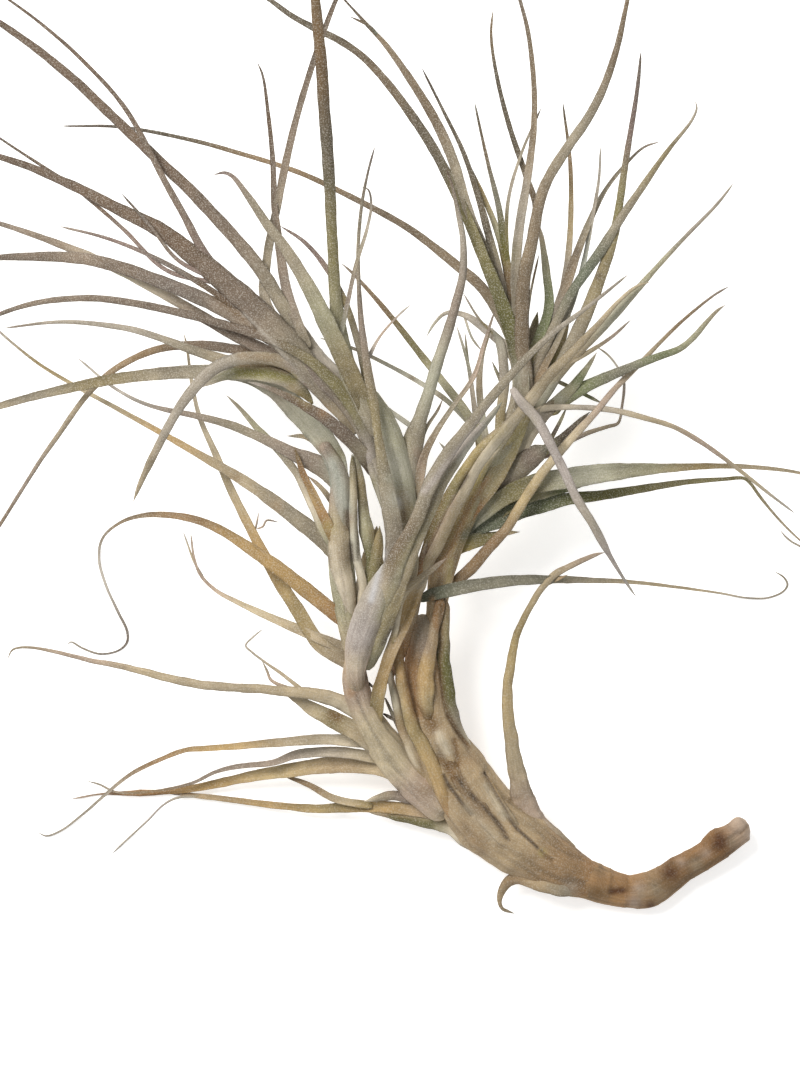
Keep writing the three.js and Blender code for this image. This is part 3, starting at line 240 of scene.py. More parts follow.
def skin(name, scurf, speck, fibre, rough):
    """Plant skin: its own tint, lengthwise fibres, cloudy mottling, and pale scurf as fine specks.

    scurf is the share of pale scale, speck its grain in mm, fibre the width of one fibre in mm.
    """
    look = bpy.data.materials.new(name)
    look.use_nodes = True
    tree = look.node_tree
    shader = tree.nodes["Principled BSDF"]
    tint = add(tree, "ShaderNodeAttribute", attribute_name="tint").outputs["Color"]
    grain = add(tree, "ShaderNodeAttribute", attribute_name="grain").outputs["Vector"]
    place = add(tree, "ShaderNodeTexCoord").outputs["Object"]
    lines = add(tree, "ShaderNodeMapping", [("Vector", grain), ("Scale", (1 / fibre, 0.07 / fibre, 1))])
    fibres = add(
        tree,
        "ShaderNodeTexNoise",
        [("Vector", lines.outputs["Vector"]), ("Scale", 1), ("Detail", 2), ("Roughness", 0.6)],
    ).outputs["Fac"]
    specks = add(
        tree,
        "ShaderNodeTexNoise",
        [("Vector", place), ("Scale", 1000 / speck), ("Detail", 1.5), ("Roughness", 0.6)],
    ).outputs["Fac"]
    clouds = add(
        tree,
        "ShaderNodeTexNoise",
        [("Vector", place), ("Scale", 1000 / 5.5), ("Detail", 3), ("Roughness", 0.6)],
    ).outputs["Fac"]
    shade = add(
        tree,
        "ShaderNodeMapRange",
        [("Value", fibres), ("From Min", 0.3), ("From Max", 0.7), ("To Min", 0.84), ("To Max", 1.12)],
    ).outputs["Result"]
    cloud = add(
        tree,
        "ShaderNodeMapRange",
        [("Value", clouds), ("From Min", 0.3), ("From Max", 0.7), ("To Min", 0.83), ("To Max", 1.15)],
    ).outputs["Result"]
    both = add(tree, "ShaderNodeMath", [(0, shade), (1, cloud)], operation="MULTIPLY").outputs["Value"]
    toned = add(
        tree,
        "ShaderNodeVectorMath",
        [(0, tint), (3, both)],
        operation="SCALE",
    ).outputs["Vector"]
    pale = add(
        tree,
        "ShaderNodeMapRange",
        [("Value", specks), ("From Min", 0.5), ("From Max", 0.68), ("To Min", 0), ("To Max", scurf)],
    ).outputs["Result"]
    dark = add(
        tree,
        "ShaderNodeMapRange",
        [("Value", specks), ("From Min", 0.32), ("From Max", 0.46), ("To Min", 0.4 * scurf), ("To Max", 0)],
    ).outputs["Result"]
    dusted = add(
        tree,
        "ShaderNodeMix",
        [("Factor", pale), (6, toned), (7, (*tint_of("d6d1c6"), 1))],
        data_type="RGBA",
    ).outputs[2]
    pitted = add(
        tree,
        "ShaderNodeMix",
        [("Factor", dark), (6, dusted), (7, (*tint_of("3c342b"), 1))],
        data_type="RGBA",
    ).outputs[2]
    relief = add(tree, "ShaderNodeMath", [(0, fibres), (1, specks)], operation="ADD").outputs["Value"]
    bump = add(
        tree,
        "ShaderNodeBump",
        [("Height", relief), ("Strength", 0.5), ("Distance", 0.00012)],
    ).outputs["Normal"]
    tree.links.new(pitted, shader.inputs["Base Color"])
    tree.links.new(bump, shader.inputs["Normal"])
    shader.inputs["Roughness"].default_value = rough
    shader.inputs["Specular IOR Level"].default_value = 0.3
    return look


def dress(piece, look, node):
    """Gives a piece its material, and its place in the frame."""
    piece.data.materials.append(look)
    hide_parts(node)
    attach(piece, "root")


STUB = [
    [-12, 3, 5.5, 4.9], [-7, 1.2, 4.4, 4.4], [-2, 0.1, 3.8, 4.1], [3, 0.5, 3.7, 4.4], [7, 2.6, 4, 4],
    [11.5, 5.8, 4.6, 3.6], [15.5, 8, 5.2, 3.4], [18.3, 9.8, 5.7, 3.4], [20.8, 12, 6.1, 4], [22.6, 13,
    6.4, 3.6], [24.6, 14.2, 6.7, 3.3], [26.8, 16, 7, 3.3], [28.3, 16.7, 7.2, 2.3],
]
STUB_MARKS = [
    (5.2, 0.6, 2.4, "stone", 0.5),
    (15.2, 6.5, 2.2, "stone", 0.6),
    (24, 12.4, 1.5, "stone", 0.5),
    (-0.4, -2.6, 1.8, "lilac", 0.5),
    (11, 7.3, 1.3, "rose", 0.7),
    (17.4, 9.7, 1.5, "rose", 0.5),
    (0.7, 1, 1.6, "rose", 0.6),
    (27, 17, 2.2, "rose", 0.7),
    (-9.4, 0, 1.7, "peat", 0.8),
    (3.6, -3.4, 1.3, "mocha", 0.8),
    (20.8, 13.6, 1.5, "mocha", 0.7),
    (21, 12, 2.3, "mocha", 0.9),
    (8.6, 4.8, 2.6, "mocha", 0.95),
    (7.2, 2.4, 1.7, "peat", 0.6),
    (9.8, 6.6, 1.4, "peat", 0.5),
    (1.4, -0.6, 1.5, "stone", 0.4),
]
STUB_LINES = [
    (0, 1.7, "honey", 0.7, [-10.5, 2.7, -7, 2.5, -4, 2.2]),
    (0.3, 1, "mocha", 0.95, [-6, 0.1, -3.4, 0.3]),
    (0.2, 0.5, "umber", 0.6, [26.2, 14.6, 27.4, 15.6, 28, 16.6]),
    (0, 1, "umber", 0.5, [9.6, 1, 14.6, 4.6, 20, 8.2]),
]
bark = skin("thin grey-brown bark", 0.08, 0.4, 0.5, 0.8)
stub = mesh("stub_bark", [stem([(-19, 5.6, 6, 4), *STUB], "honey hazel honey hazel acorn acorn rose", 96, 3, scars=0.035)], STUB_MARKS, STUB_LINES)
dress(stub, bark, "woody_stem")

# Old stem: a thick stem wrapped in dry leaf sheaths, papery and creased, which overlap like shingles.
# Long strips of old leaves rise along it, and one dry leaf stands up from it.
# It grew as each year's leaves died back, so its sheaths are taupe and its creases brown; the dark paint in its cracks
# is partly painted shade.


def height_at(share, lift):
    """Height along a leaf: the lift values stand at equal shares of its length, with a smooth curve between."""
    v = np.array(lift, float)
    place = share * (len(v) - 1)
    i = np.minimum(place.astype(int), len(v) - 2)
    f = place - i
    b, c = v[i], v[i + 1]
    a = np.where(i > 0, v[np.maximum(i - 1, 0)], b)
    d = np.where(i + 2 < len(v), v[np.minimum(i + 2, len(v) - 1)], c)
    cubic = (3 * b - a - 3 * c + d) * f**3 + (2 * a - 5 * b + 4 * c - d) * f**2
    return 0.5 * (2 * b + (c - a) * f + cubic)


def leaf(row, seed, dry=0.0, sink=1.6, ease=3.0):
    """Leaf blade: a flattened round section on a grid of length by turn, bent to a channel or to a keel.

    The section is a superellipse, width across and thickness deep, raised by bend times its width times
    the place across to the power one and a half. It rolls and its edges wave a little, more when it is dry.
    """
    names, side_up, lift, run = row
    rng = np.random.default_rng(seed)
    run = np.array(run, float).reshape(-1, 3)
    reach = np.r_[0, np.cumsum(np.linalg.norm(np.diff(run[:, :2], axis=0), axis=1))]
    height = height_at(reach / reach[-1], lift)
    places, width = path(seen(run[:, :2], height), run[:, 2], 0.7)
    ahead, side, up = frames(places)
    length = np.r_[0, np.cumsum(np.linalg.norm(np.diff(places, axis=0), axis=1))]
    share = length / length[-1]
    points = 12 if run[:, 2].max() < 1.6 else 18 if run[:, 2].max() < 4.4 else 26
    taper = np.clip((length[-1] - length) / 2.4, 0.04, 1) * np.clip(0.5 + length / 2.4, 0, 1)
    width = width * (1 + 0.03 * ripple(length, 9, rng)) * taper**0.6
    thick = np.minimum(0.7 * width, 0.3 + 0.05 * width)
    bend = {"face": 0.2, "back": -0.18, "clasp": -0.3}[side_up]
    places[:, 2] -= sink * np.exp(-((length / ease) ** 2))
    roll = np.radians(9 * ripple(length, 70, rng) + dry * 25 * ripple(length, 30, rng)) * np.minimum(1, share * 4)
    across = np.cos(roll)[:, None] * side + np.sin(roll)[:, None] * up
    above = np.cos(roll)[:, None] * up - np.sin(roll)[:, None] * side
    turn = 2 * np.pi * np.arange(points) / points
    s = np.sign(np.cos(turn)) * np.abs(np.cos(turn)) ** 0.8
    e = np.sign(np.sin(turn)) * np.abs(np.sin(turn)) ** 0.8
    wave = 0.02 * ripple(length, 7, rng)[:, None] * s * np.abs(s) + dry * 0.05 * ripple(length, 4, rng)[:, None] * s
    rib = 0.016 * np.cos(s * 9 + rng.uniform(0, 6))
    lie = bend * np.abs(s) ** 1.5 - max(bend, 0) + wave + rib
    deep = (e - 1) / 2 * thick[:, None] + lie * width[:, None]
    at = places[:, None] + (s * width[:, None] / 2)[..., None] * across[:, None] + deep[..., None] * above[:, None]
    tint = colours(names, np.broadcast_to(share[:, None], deep.shape))
    # Painted shade: the blade darkens sharply at its rolled edges and a little along its middle; it also darkens
    # towards its tip, and its tone varies at random along it and from leaf to leaf.
    edge_shade = 1 - 0.42 * np.abs(s) ** 7
    blade_shade_and_tone = edge_shade * (1 + 0.06 * np.abs(s) ** 2 + 0.04 * ripple(length, 15, rng)[:, None] - 0.2 * share[:, None] ** 3)
    tint = tint * blade_shade_and_tone[..., None] * rng.uniform(0.95, 1.05)
    grain = np.stack([s * width[:, None] / 2 + 0 * length[:, None], length[:, None] + 0 * s, 0 * deep + seed], axis=2)
    return at, tint, grain


OLD_STEM = [
    [-12.6, 3.2, 5.6, 4.9], [-20, 6.6, 7.4, 6.9], [-29, 12.5, 8.8, 8.1], [-37.5, 19, 10, 9], [-43.8, 28,
    12, 8], [-49.5, 37.8, 15, 6.8], [-51, 48, 17.2, 5.7], [-52.4, 58, 19.2, 5.2], [-53, 64, 20.4, 3.7],
    [-53.6, 69.5, 21.2, 1.7],
]
OLD_LEAVES = [
    # sheaths that clasp the stem
    ("honey ochre khaki ochre honey", "clasp", [16, 20.5, 23, 25, 26],
     [[-43.3, 16.5, 2, -46, 20, 3.3, -48.3, 25, 4.1, -52.1, 33, 4, -54.9, 39.5, 3.7, -56.9, 44.8, 3.1,
      -58, 50, 3, -58.9, 55.4, 2.8, -59.3, 60, 2.6, -58.7, 65, 2]]),
    ("bark fawn tan bark cream cream", "clasp", [15, 19, 21, 22.5],
     [[-50, 24, 2.6, -53, 29, 2.8, -56, 34.5, 2.8, -57.9, 40, 2.8, -59.1, 45, 2.6, -60.2, 49.5, 2.2,
      -61.2, 53.5, 1.5, -61.7, 56.5, 0.8]]),
    ("peat straw ochre ochre bark honey", "clasp", [22.4, 26, 27, 27, 25.6],
     [[-50.3, 40, 1.8, -51.6, 43.5, 3, -52.6, 47.5, 4.3, -52.7, 51.5, 4.7, -52.2, 55.5, 4.1, -51.2,
      60.5, 3.2, -50.4, 65, 2.6, -49.7, 69.5, 2.8, -49.2, 74.4, 3.2]]),
    ("cream stone loden loden olive bark", "clasp", [18.6, 22.3, 24, 25, 25],
     [[-41.4, 36, 1.4, -44.2, 40.5, 2.6, -46, 44.3, 3.4, -47.2, 48.5, 3.7, -47.9, 54, 3.6, -48.1, 60,
      3.2, -48, 66, 3, -47.8, 73.4, 2.8]]),
    ("fawn tan ochre", "back", [15.6, 17.5, 18.2, 18],
     [[-24, 9, 2, -28, 13, 2.8, -32, 18, 3.2, -35.3, 23.5, 3.2, -38.5, 29.5, 2]]),
    ("fawn fawn bark bark umber bark", "back", [17, 19.3, 20, 21, 21.6],
     [[-28, 9.5, 2.4, -33, 13.5, 3.8, -38, 19, 4.2, -42, 25, 4.2, -45, 31, 4, -47.5, 37.5, 3, -49.3, 43,
      1.6]]),
    # upright dry leaf with a folded tip
    ("tan rose tan straw khaki tan rose", "back", [9.6, 14, 21, 28, 29.5, 26, 24],
     [[-15, 9.4, 2.6, -20.2, 13.2, 4.8, -25.3, 17.2, 6.6, -28, 22, 6, -29.4, 27, 4.9, -30.2, 31.5, 4.1,
      -31, 37, 3.5, -31.9, 45, 2.9, -32, 52, 2.5, -31, 59, 2.2, -29, 66, 1.8, -26, 72, 1.6, -23.5, 76,
      1.7, -20, 79.6, 1.8, -15, 82.4, 1.6, -10.5, 84.2, 1.1, -7.7, 84.9, 0.5]]),
    ("tan bark", "face", [26.5, 26],
     [[-23, 76.8, 1.4, -17, 79.3, 0.6]]),
    # level leaf with a hooked tip on the surface
    ("pine lichen lichen stone tan tan ash stone", "face", [26, 31, 26, 16, 6, 1, 0.5],
     [[-54.6, 72.9, 1.8, -51.3, 74.2, 3, -47, 75.3, 3.4, -40, 76.7, 3.2, -30, 77.9, 2.7, -20, 78, 2.1,
      -10, 77.9, 1.4, 0, 77.4, 1, 10, 76.2, 0.8, 20, 74.9, 0.6, 28, 73.5, 0.5, 33, 73.5, 0.5, 36.7, 75,
      0.5, 37.9, 76.8, 0.5, 37, 78.7, 0.5, 34.7, 80.1, 0.5]]),
    # dry hook below the elbow
    ("ochre taupe fawn bark fawn stone", "back", [9, 12, 13, 11.4, 8, 5, 2.4],
     [[-12, 0.6, 4.4, -17, 1.4, 5.4, -22, 2.6, 5.8, -26, 3.6, 5.4, -29.4, 3.5, 4.2, -32.2, 1.9, 2.7,
      -33.8, -0.5, 1.9, -34.1, -2.8, 1.1, -33.4, -4.3, 0.9, -32, -4.9, 0.8, -30.3, -5.4, 0.6]]),
    # wiry roots
    ("soot soot", "back", [21.5, 20.5, 18.5],
     [[-62.7, 48.4, 0.6, -61.6, 46, 0.8, -60.6, 43.9, 1, -59.7, 41.6, 0.8, -58.8, 39.3, 0.7, -58, 37,
      0.6]]),
    ("soot soot", "back", [21, 20.6],
     [[-63.2, 44.5, 0.6, -62, 43.9, 0.9, -60.8, 43.2, 1, -59.6, 42.3, 0.9]]),
]
OLD_LINES = [
    # The soot lines sink the cracks between the sheaths and paint them near-black, partly their own brown and partly
    # painted shade; the broader bark lines along them are softer painted shade.
    (0.5, 1.1, "bark", 0.45, [-46.6, 26.3, -44.6, 23.7, -42.7, 21.1, -41, 19.2, -39.7, 18.2]),
    (1, 0.42, "soot", 0.85, [-48, 29, -46.6, 26.3, -44.6, 23.7, -42.7, 21.1, -41, 19.2]),
    (0.5, 1.1, "bark", 0.45, [-43, 27, -41.4, 24.4, -38.8, 21.8, -36.5, 19.5, -34.5, 17.2, -32.9, 14.6]),
    (1.1, 0.42, "soot", 0.9, [-45, 28.6, -41.4, 24.4, -38.8, 21.8, -36.5, 19.5, -34.5, 17.2, -32.9, 14.6, -31.9, 12.7]),
    (0.4, 1, "bark", 0.4, [-37.9, 29.6, -36.5, 27, -34.8, 24.1, -33.2, 21.5, -31.6, 18.5, -29.6, 15.6]),
    (1, 0.4, "soot", 0.85, [-37.9, 29.6, -34.8, 24.1, -33.2, 21.5, -31.6, 18.5, -29.6, 15.6, -26.3, 12.7, -24.5, 10.9]),
    (0, 0.9, "cream", 0.55, [-37.6, 26.6, -35.4, 22.6, -33, 18.6]),
    (0, 1.2, "cream", 0.35, [-42.4, 21.2, -39, 17.6, -35.4, 13.6]),
    (0.5, 0.6, "umber", 0.6, [-46.8, 43.9, -43.9, 38.8, -41.7, 36]),
    (0.3, 0.6, "bark", 0.4, [-32.9, 22.8, -29.2, 23.4]),
    (0, 1.8, "bark", 0.6, [-43, 16.5, -38.5, 10.5]),
    (0.8, 1.6, "honey", 0.85, [-57, 60.7, -56, 54, -55.7, 48.7, -54.4, 44.7]),
    (0.4, 1.8, "peat", 0.8, [-51.4, 43, -50.2, 40.2]),
    # Painted shadow: the dark peat streak right of the cream knob.
    (0.4, 0.9, "peat", 0.8, [-45.3, 37.8, -44.3, 31.8]),
    (0.3, 1.2, "peat", 0.7, [-48.8, 33.6, -45.6, 28.4]),
    (-0.3, 1.3, "cream", 0.75, [-49.2, 39.4, -47.4, 35.2]),
    (0, 2.6, "mauve", 0.7, [-55.8, 69, -52.4, 61]),
    (0.7, 0.5, "umber", 0.8, [-23.6, 10.2, -22.2, 8.6, -20.9, 7.9]),
    (0, 0.7, "cream", 0.6, [-57.5, 36, -55, 31.4]),
    (0, 2, "silver", 0.5, [-60.6, 50, -60, 46]),
    (0, 1.3, "olive", 0.6, [-58.8, 44.5, -58.2, 42.4]),
    (0, 1.4, "ochre", 0.4, [-53.6, 36.6, -51.8, 33]),
    (0.3, 0.7, "honey", 0.75, [-51, 73.3, -50.3, 69, -49.8, 66]),
    (0.5, 0.5, "umber", 0.85, [-48.5, 71.4, -49, 56, -48.2, 48.7, -46.9, 44, -44.8, 40.2, -42.2, 36.8]),
]
OLD_MARKS = [
    (-23.4, 9.8, 0.9, "wheat", 0.9),
    (-39.5, 12.4, 2.2, "bark", 0.5),
    (-41.8, 33, 2.5, "hazel", 0.5),
    (-10.9, 6.9, 1.5, "rust", 0.6),
    (-9.4, 2.5, 2.2, "honey", 0.7),
    (-8.3, -0.7, 1.4, "soot", 0.7),
    (-16.4, 1, 2, "ash", 0.5),
    (-53, 21, 4, "rose", 0.35),
    # Painted light: buff lightens the stem's end where it lies in shade under the leaves above.
    (-54.2, 65.5, 3, "buff", 0.8),
]
sheath = skin("dry papery leaf sheath", 0.22, 0.4, 0.45, 0.85)
old_stem = mesh(
    "old_stem_sheaths",
    [stem([(-8.6, 2, 4.8, 4.2), *OLD_STEM], "honey hazel fawn fawn fawn fawn hazel ash", 192, 5, step=0.28)],
    OLD_MARKS,
    OLD_LINES,
)
dress(old_stem, sheath, "old_stem")
old_leaves = mesh(
    "old_stem_leaves",
    [leaf(row, 100 + i, 0.5, 2, 5) for i, row in enumerate(OLD_LEAVES)],
    OLD_MARKS,
    OLD_LINES,
)
dress(old_leaves, sheath, "old_stem")

# Lowest shoot: short, with dry tan and ochre leaves that reach out to the left along the surface.
# The leaves are thin, half rolled and brittle, with curled ends.
LOW_STEM = [
    [-45.5, 20.5, 9.6, 5.2], [-50, 23.5, 10.5, 5.2], [-57, 30, 12, 4.8], [-62.6, 36.5, 14.5, 4.4],
    [-66.4, 42.3, 17.5, 3.7], [-69.2, 48.6, 20.3, 3.3], [-70.2, 53, 22, 3.2], [-70.3, 56.8, 23.2, 2.7],
]
LOW_LEAVES = [
    ("cream tan taupe tan rose taupe", "back", [19, 24, 22, 14, 6, 3],
     [[-66, 42, 4, -71, 46, 4.2, -77, 48.6, 3.6, -84, 50, 2.8, -92, 50.5, 2.4, -102, 51, 2.3, -112,
      52.4, 2.2, -122, 54.7, 1.9, -132, 57, 1.5, -141, 59.1, 1.1, -149, 60.8, 0.8, -154, 61.1, 0.6,
      -156, 60.4, 0.5, -157.1, 58.2, 0.5]]),
    ("cream tan olive buff cream", "face", [17, 20, 20, 21],
     [[-64, 36, 5, -70, 40, 4.6, -76, 43.3, 4.4, -81, 45.8, 3.4, -85, 48.3, 2, -88, 49.6, 1]]),
    ("tan taupe ash pearl", "back", [23.8, 20, 16, 12],
     [[-83, 50, 1.2, -88, 54, 0.9, -92, 57, 0.7, -96, 60, 0.6, -97.6, 61.6, 0.5, -95.6, 63.8, 0.5,
      -93.3, 65.7, 0.5]]),
    ("taupe rose stone", "back", [23.5, 18],
     [[-86, 50.6, 1, -91.3, 53, 0.8, -92.2, 55, 0.7, -93.5, 57.7, 0.6]]),
    ("cream taupe ochre hazel ash ash", "face", [16, 16, 12, 8, 2, 0.5],
     [[-66, 37.3, 3.2, -78, 38.1, 2.7, -90, 37.3, 2.2, -100, 36.4, 1.7, -108, 35.8, 1.5, -112.5, 35.5,
      1.3, -120, 32.7, 1.2, -127, 29, 1, -133, 24, 0.8, -139, 18.8, 0.6, -144, 15.2, 0.5, -147.5, 14,
      0.5, -149.4, 14.8, 0.5]]),
    ("buff ash mauve mauve bark ash", "face", [14, 13, 10, 6, 3, 3],
     [[-62, 33, 3, -75, 35, 2.7, -85, 34.3, 2.3, -90.5, 32.4, 1.6, -100, 31.3, 1.3, -105, 30, 1, -111,
      27.2, 0.8, -120, 25.2, 0.7, -130, 25, 0.6, -134, 26.8, 0.5, -137.2, 27.7, 0.5]]),
    ("buff fawn straw amber rust rose", "face", [13, 11, 7, 3, 1, 1],
     [[-57, 29, 4.6, -66, 31.6, 4.6, -76, 31.7, 4.3, -86, 30.5, 3.6, -95, 29.1, 2.8, -104, 27.2, 2.3,
      -112, 25.7, 1.8, -118, 25, 1.3, -124, 24.8, 1.8, -129, 24.6, 1, -134, 24.4, 0.5, -141.2, 23.2,
      0.5]]),
    ("taupe ochre khaki ochre fawn rose", "face", [9.4, 7, 4, 2, 1],
     [[-47.5, 17.6, 2.6, -51, 19.6, 3.4, -60, 21, 3.2, -70, 21.2, 2.8, -80, 20.8, 2.2, -90, 21.6, 1.8,
      -100, 22.9, 1.5, -109, 24, 1.4, -116, 24.8, 0.9, -122, 25.2, 0.5]]),
    ("khaki tan bark bark", "face", [9, 7, 6],
     [[-66, 21.5, 2, -75, 23.2, 1.9, -82, 26.8, 1.5, -88.5, 29.2, 0.6]]),
    ("khaki ash lilac ash pearl", "back", [2, 1.5, 0.5],
     [[-106, 23.8, 0.7, -115.8, 23.1, 0.6, -123, 17, 0.5, -131, 9.6, 0.5]]),
    ("umber cream moss bark buff", "clasp", [8.8, 9.4, 8, 6],
     [[-38, 10.6, 3.6, -42, 13, 4, -46, 15.4, 4.2, -50, 16.8, 4, -55, 17.9, 3.2, -60, 19, 2.6, -68,
      20.4, 0.8]]),
    ("mauve mauve taupe cream", "clasp", [11, 9],
     [[-54, 23, 3.4, -62, 23.6, 2.6, -68, 22.6, 0.8]]),
    ("khaki khaki ochre fawn ochre cream", "face", [17.5, 25.6, 29.5, 31.5, 32.4],
     [[-66.2, 39, 3, -65.3, 43, 3.6, -64.3, 50, 3.4, -62.9, 55, 3.1, -61.3, 60, 3.1, -59.2, 65, 3.7,
      -57.6, 69.5, 4.5, -55.7, 73.8, 4, -53.9, 76.8, 3.1, -51.8, 79.3, 1.6]]),
    ("khaki cream buff tan taupe rose", "back", [31, 32.6, 33.6, 34.4],
     [[-60.8, 62, 1.5, -59.9, 67.5, 1.8, -59, 72, 2, -57.3, 75.4, 2.1, -54.2, 78.1, 1.8, -50.5, 81, 1.4,
      -47.2, 83.6, 0.6]]),
    # wiry root
    ("soot soot", "face", [23, 25.4],
     [[-67.6, 52.7, 0.7, -66.4, 51.7, 0.7, -65, 50.5, 0.7]]),
]
LOW_MARKS = [
    (-74.4, 43.8, 1.3, "peat", 0.85),
    (-76, 44.4, 1.2, "peat", 0.7),
    (-71.2, 50, 1.4, "rust", 0.6),
    (-68.3, 54.3, 1.7, "plum", 0.6),
    (-67.7, 53.5, 0.8, "soot", 0.7),
    (-53, 21, 4, "rose", 0.45),
    (-59.7, 25.4, 1.2, "soot", 0.6),
    (-52.8, 25.5, 2, "bark", 0.6),
    (-60.4, 55, 1, "umber", 0.7),
]
LOW_STRIPES = [
    (0, 0.9, "loden", 0.8, [-61.5, 18.6, -56, 17.5, -51.2, 16.8]),
    (0.3, 0.8, "ochre", 0.7, [-55.2, 74.4, -57.3, 71.4, -58.1, 67.4]),
]
dry_leaf = skin("dry ochre leaf", 0.26, 0.35, 0.35, 0.85)
low_leaves = mesh(
    "low_left_leaves",
    [stem([*LOW_STEM, (-69.6, 61, 25.6, 2.4)], "tan rose buff buff rose fawn", 72, 11)]
    + [leaf(row, 200 + i, 0.5) for i, row in enumerate(LOW_LEAVES)],
    LOW_MARKS,
    LOW_STRIPES,
)
dress(low_leaves, dry_leaf, "shoot_low_left")

# Left shoot: pale tan and grey-green leaves, with one long dry leaf that curls at its end.
LEFT_STEM = [
    [-70.6, 59.5, 19.4, 2.4], [-72, 68, 20, 2.8], [-73.3, 78, 21, 3.1], [-74, 88, 23, 3.1], [-73.8, 97,
    25.6, 2.7], [-74.4, 105, 28.4, 2.2], [-78.4, 112.4, 31, 1.5],
]
LEFT_LEAVES = [
    ("dew silver mist stone olive stone tan", "face", [27, 34, 37, 27, 4],
     [[-73.4, 93.5, 2.5, -73.9, 98, 4.2, -74.2, 103, 4.7, -75.4, 108.5, 5.2, -79, 114, 5.8, -84, 119.6,
      5.8, -90.5, 126, 5, -97, 129, 4, -104, 130, 3.6, -112, 130, 3.3, -120, 129.5, 3.1, -130, 128.3,
      2.8, -140, 126.3, 2.5, -150, 124, 2.1, -159, 121.5, 1.8, -167, 119, 0.7]]),
    ("stone stone tan ochre buff khaki pearl", "face", [22, 24, 20, 12, 4],
     [[-72.6, 80.5, 3, -76, 86, 4.6, -80, 89.6, 4.4, -84, 92.6, 3.9, -90, 97.2, 3.5, -100, 104, 2.6,
      -110, 109.8, 1.9, -118, 114.4, 1.5, -130, 121, 1.2, -141, 127, 1, -150, 132.5, 0.8, -159, 140,
      0.6, -162, 143.5, 0.5]]),
    ("stone mauve stone mauve pearl pearl", "back", [26, 28.6, 26, 20, 12],
     [[-73.6, 99.5, 2.6, -76, 104, 4.8, -79.8, 106.8, 4.9, -84.4, 108.9, 3.6, -88.5, 111, 2.9, -93,
      113.3, 2.4, -100, 116.3, 2.2, -110, 119, 1.6, -122, 121.8, 1, -130, 125.7, 0.8, -139.7, 133.5,
      0.5]]),
    ("taupe khaki ochre buff cream tan", "face", [20, 17, 16, 19, 18],
     [[-71, 57, 4, -79, 62, 3.8, -85, 71, 3.5, -91, 80.5, 3, -96, 90, 2.4, -101, 100, 2.1, -105, 109.3,
      1.7, -109, 118.5, 1.2, -111, 127, 0.9, -112.3, 136, 0.6, -113, 139.5, 0.5]]),
    ("sage cream stone sage cream", "back", [26, 28, 27, 24],
     [[-75.4, 86, 2.6, -78, 90.5, 2.8, -80.3, 95.5, 2.4, -82.5, 100, 2, -85.2, 105, 1.9, -89, 110, 2,
      -94, 115.3, 1.8, -99, 121, 1, -102.5, 124.3, 0.5]]),
    ("khaki honey ochre honey olive", "face", [27, 29, 30],
     [[-74.6, 86.5, 2.8, -77.2, 92, 2.8, -78.9, 95.5, 2.4, -81, 100, 2, -83.4, 105, 1.6, -84.4, 108,
      1.1, -85.4, 111.3, 0.5]]),
    ("rose drab tan rose", "face", [27, 28],
     [[-74, 94.5, 2, -76.5, 98.3, 1.6, -79.3, 101.6, 1.1, -82.2, 104.1, 0.5]]),
    ("ash pearl tan stone", "face", [29, 30],
     [[-75, 106, 1.8, -82, 113.5, 1.4, -87.2, 114, 0.6]]),
    ("cream cream mist buff moss", "clasp", [21, 24.5, 26.6, 28.8, 29],
     [[-71, 64.5, 2, -69.4, 70.5, 2.2, -68.5, 76.7, 2.2, -69.7, 83, 2.2, -70.3, 90, 2.2, -70.6, 97, 2.1,
      -70.7, 103, 1.8, -71, 109.5, 0.9]]),
    ("cream cream loden sage olive silver", "clasp", [20.6, 23.6, 26, 28.4],
     [[-70.8, 64, 1.8, -69.2, 70, 2, -67.6, 76.5, 2, -66.6, 82.5, 1.6, -66.8, 86, 2.7, -67.2, 90, 3.8,
      -67.9, 94, 3, -68.3, 98, 2.4, -68.9, 103, 2.1, -69.8, 107.5, 1.6, -70.6, 110.6, 0.8]]),
    # sheaths that clasp the stem
    ("cream cream taupe buff rose", "clasp", [23.5, 26.5, 27.6, 28.4],
     [[-71, 67.5, 2.2, -71.6, 72, 3.2, -72.9, 77.5, 4.8, -74, 83.5, 5.6, -74.5, 89, 5.6, -74.9, 93.5, 4,
      -75.5, 98, 2.2, -76.2, 101, 1]]),
    ("olive moss olive", "clasp", [21, 23.4, 25, 26.6],
     [[-70.6, 64.5, 2, -68.8, 69.5, 2.2, -66.8, 76, 2.4, -65.7, 81, 3.2, -64.6, 86, 3, -64.1, 91.5, 0.8]]),
    # dry leaf that curls along the surface, and a curved one below it
    ("honey amber amber hazel loam pearl slate ash", "face", [21, 22, 16, 8, 1, 0.5, 0.5],
     [[-71, 66, 3.4, -80, 73.5, 3.9, -90, 81.3, 3.6, -98, 86.8, 2.8, -104, 90.5, 2.3, -110, 93, 2, -118,
      94.3, 1.6, -124, 94, 1.2, -129, 92.3, 0.8, -133.3, 88.5, 0.7, -134.3, 83.5, 0.7, -132.7, 77, 0.7,
      -129.5, 70, 0.7, -127.2, 65, 0.7, -127.3, 62.3, 0.6, -129.5, 60.3, 0.5, -134, 59.5, 0.5, -138.5,
      61, 0.5, -141.3, 62.5, 0.5, -142.3, 61.8, 0.5]]),
    ("taupe tan buff rose rose", "face", [20, 16, 10, 10],
     [[-73, 61, 3, -80, 63.7, 2.6, -87, 66.8, 2.4, -94, 69.8, 1.8, -100, 72.6, 1.3, -105, 75.3, 1, -109,
      79.4, 0.8, -110.6, 84, 0.6, -111.3, 89.6, 0.5]]),
    ("pearl buff pearl", "back", [10, 9],
     [[-108, 78.1, 0.7, -110.5, 82.5, 0.6, -112, 86.5, 0.5, -113.2, 90, 0.5]]),
]
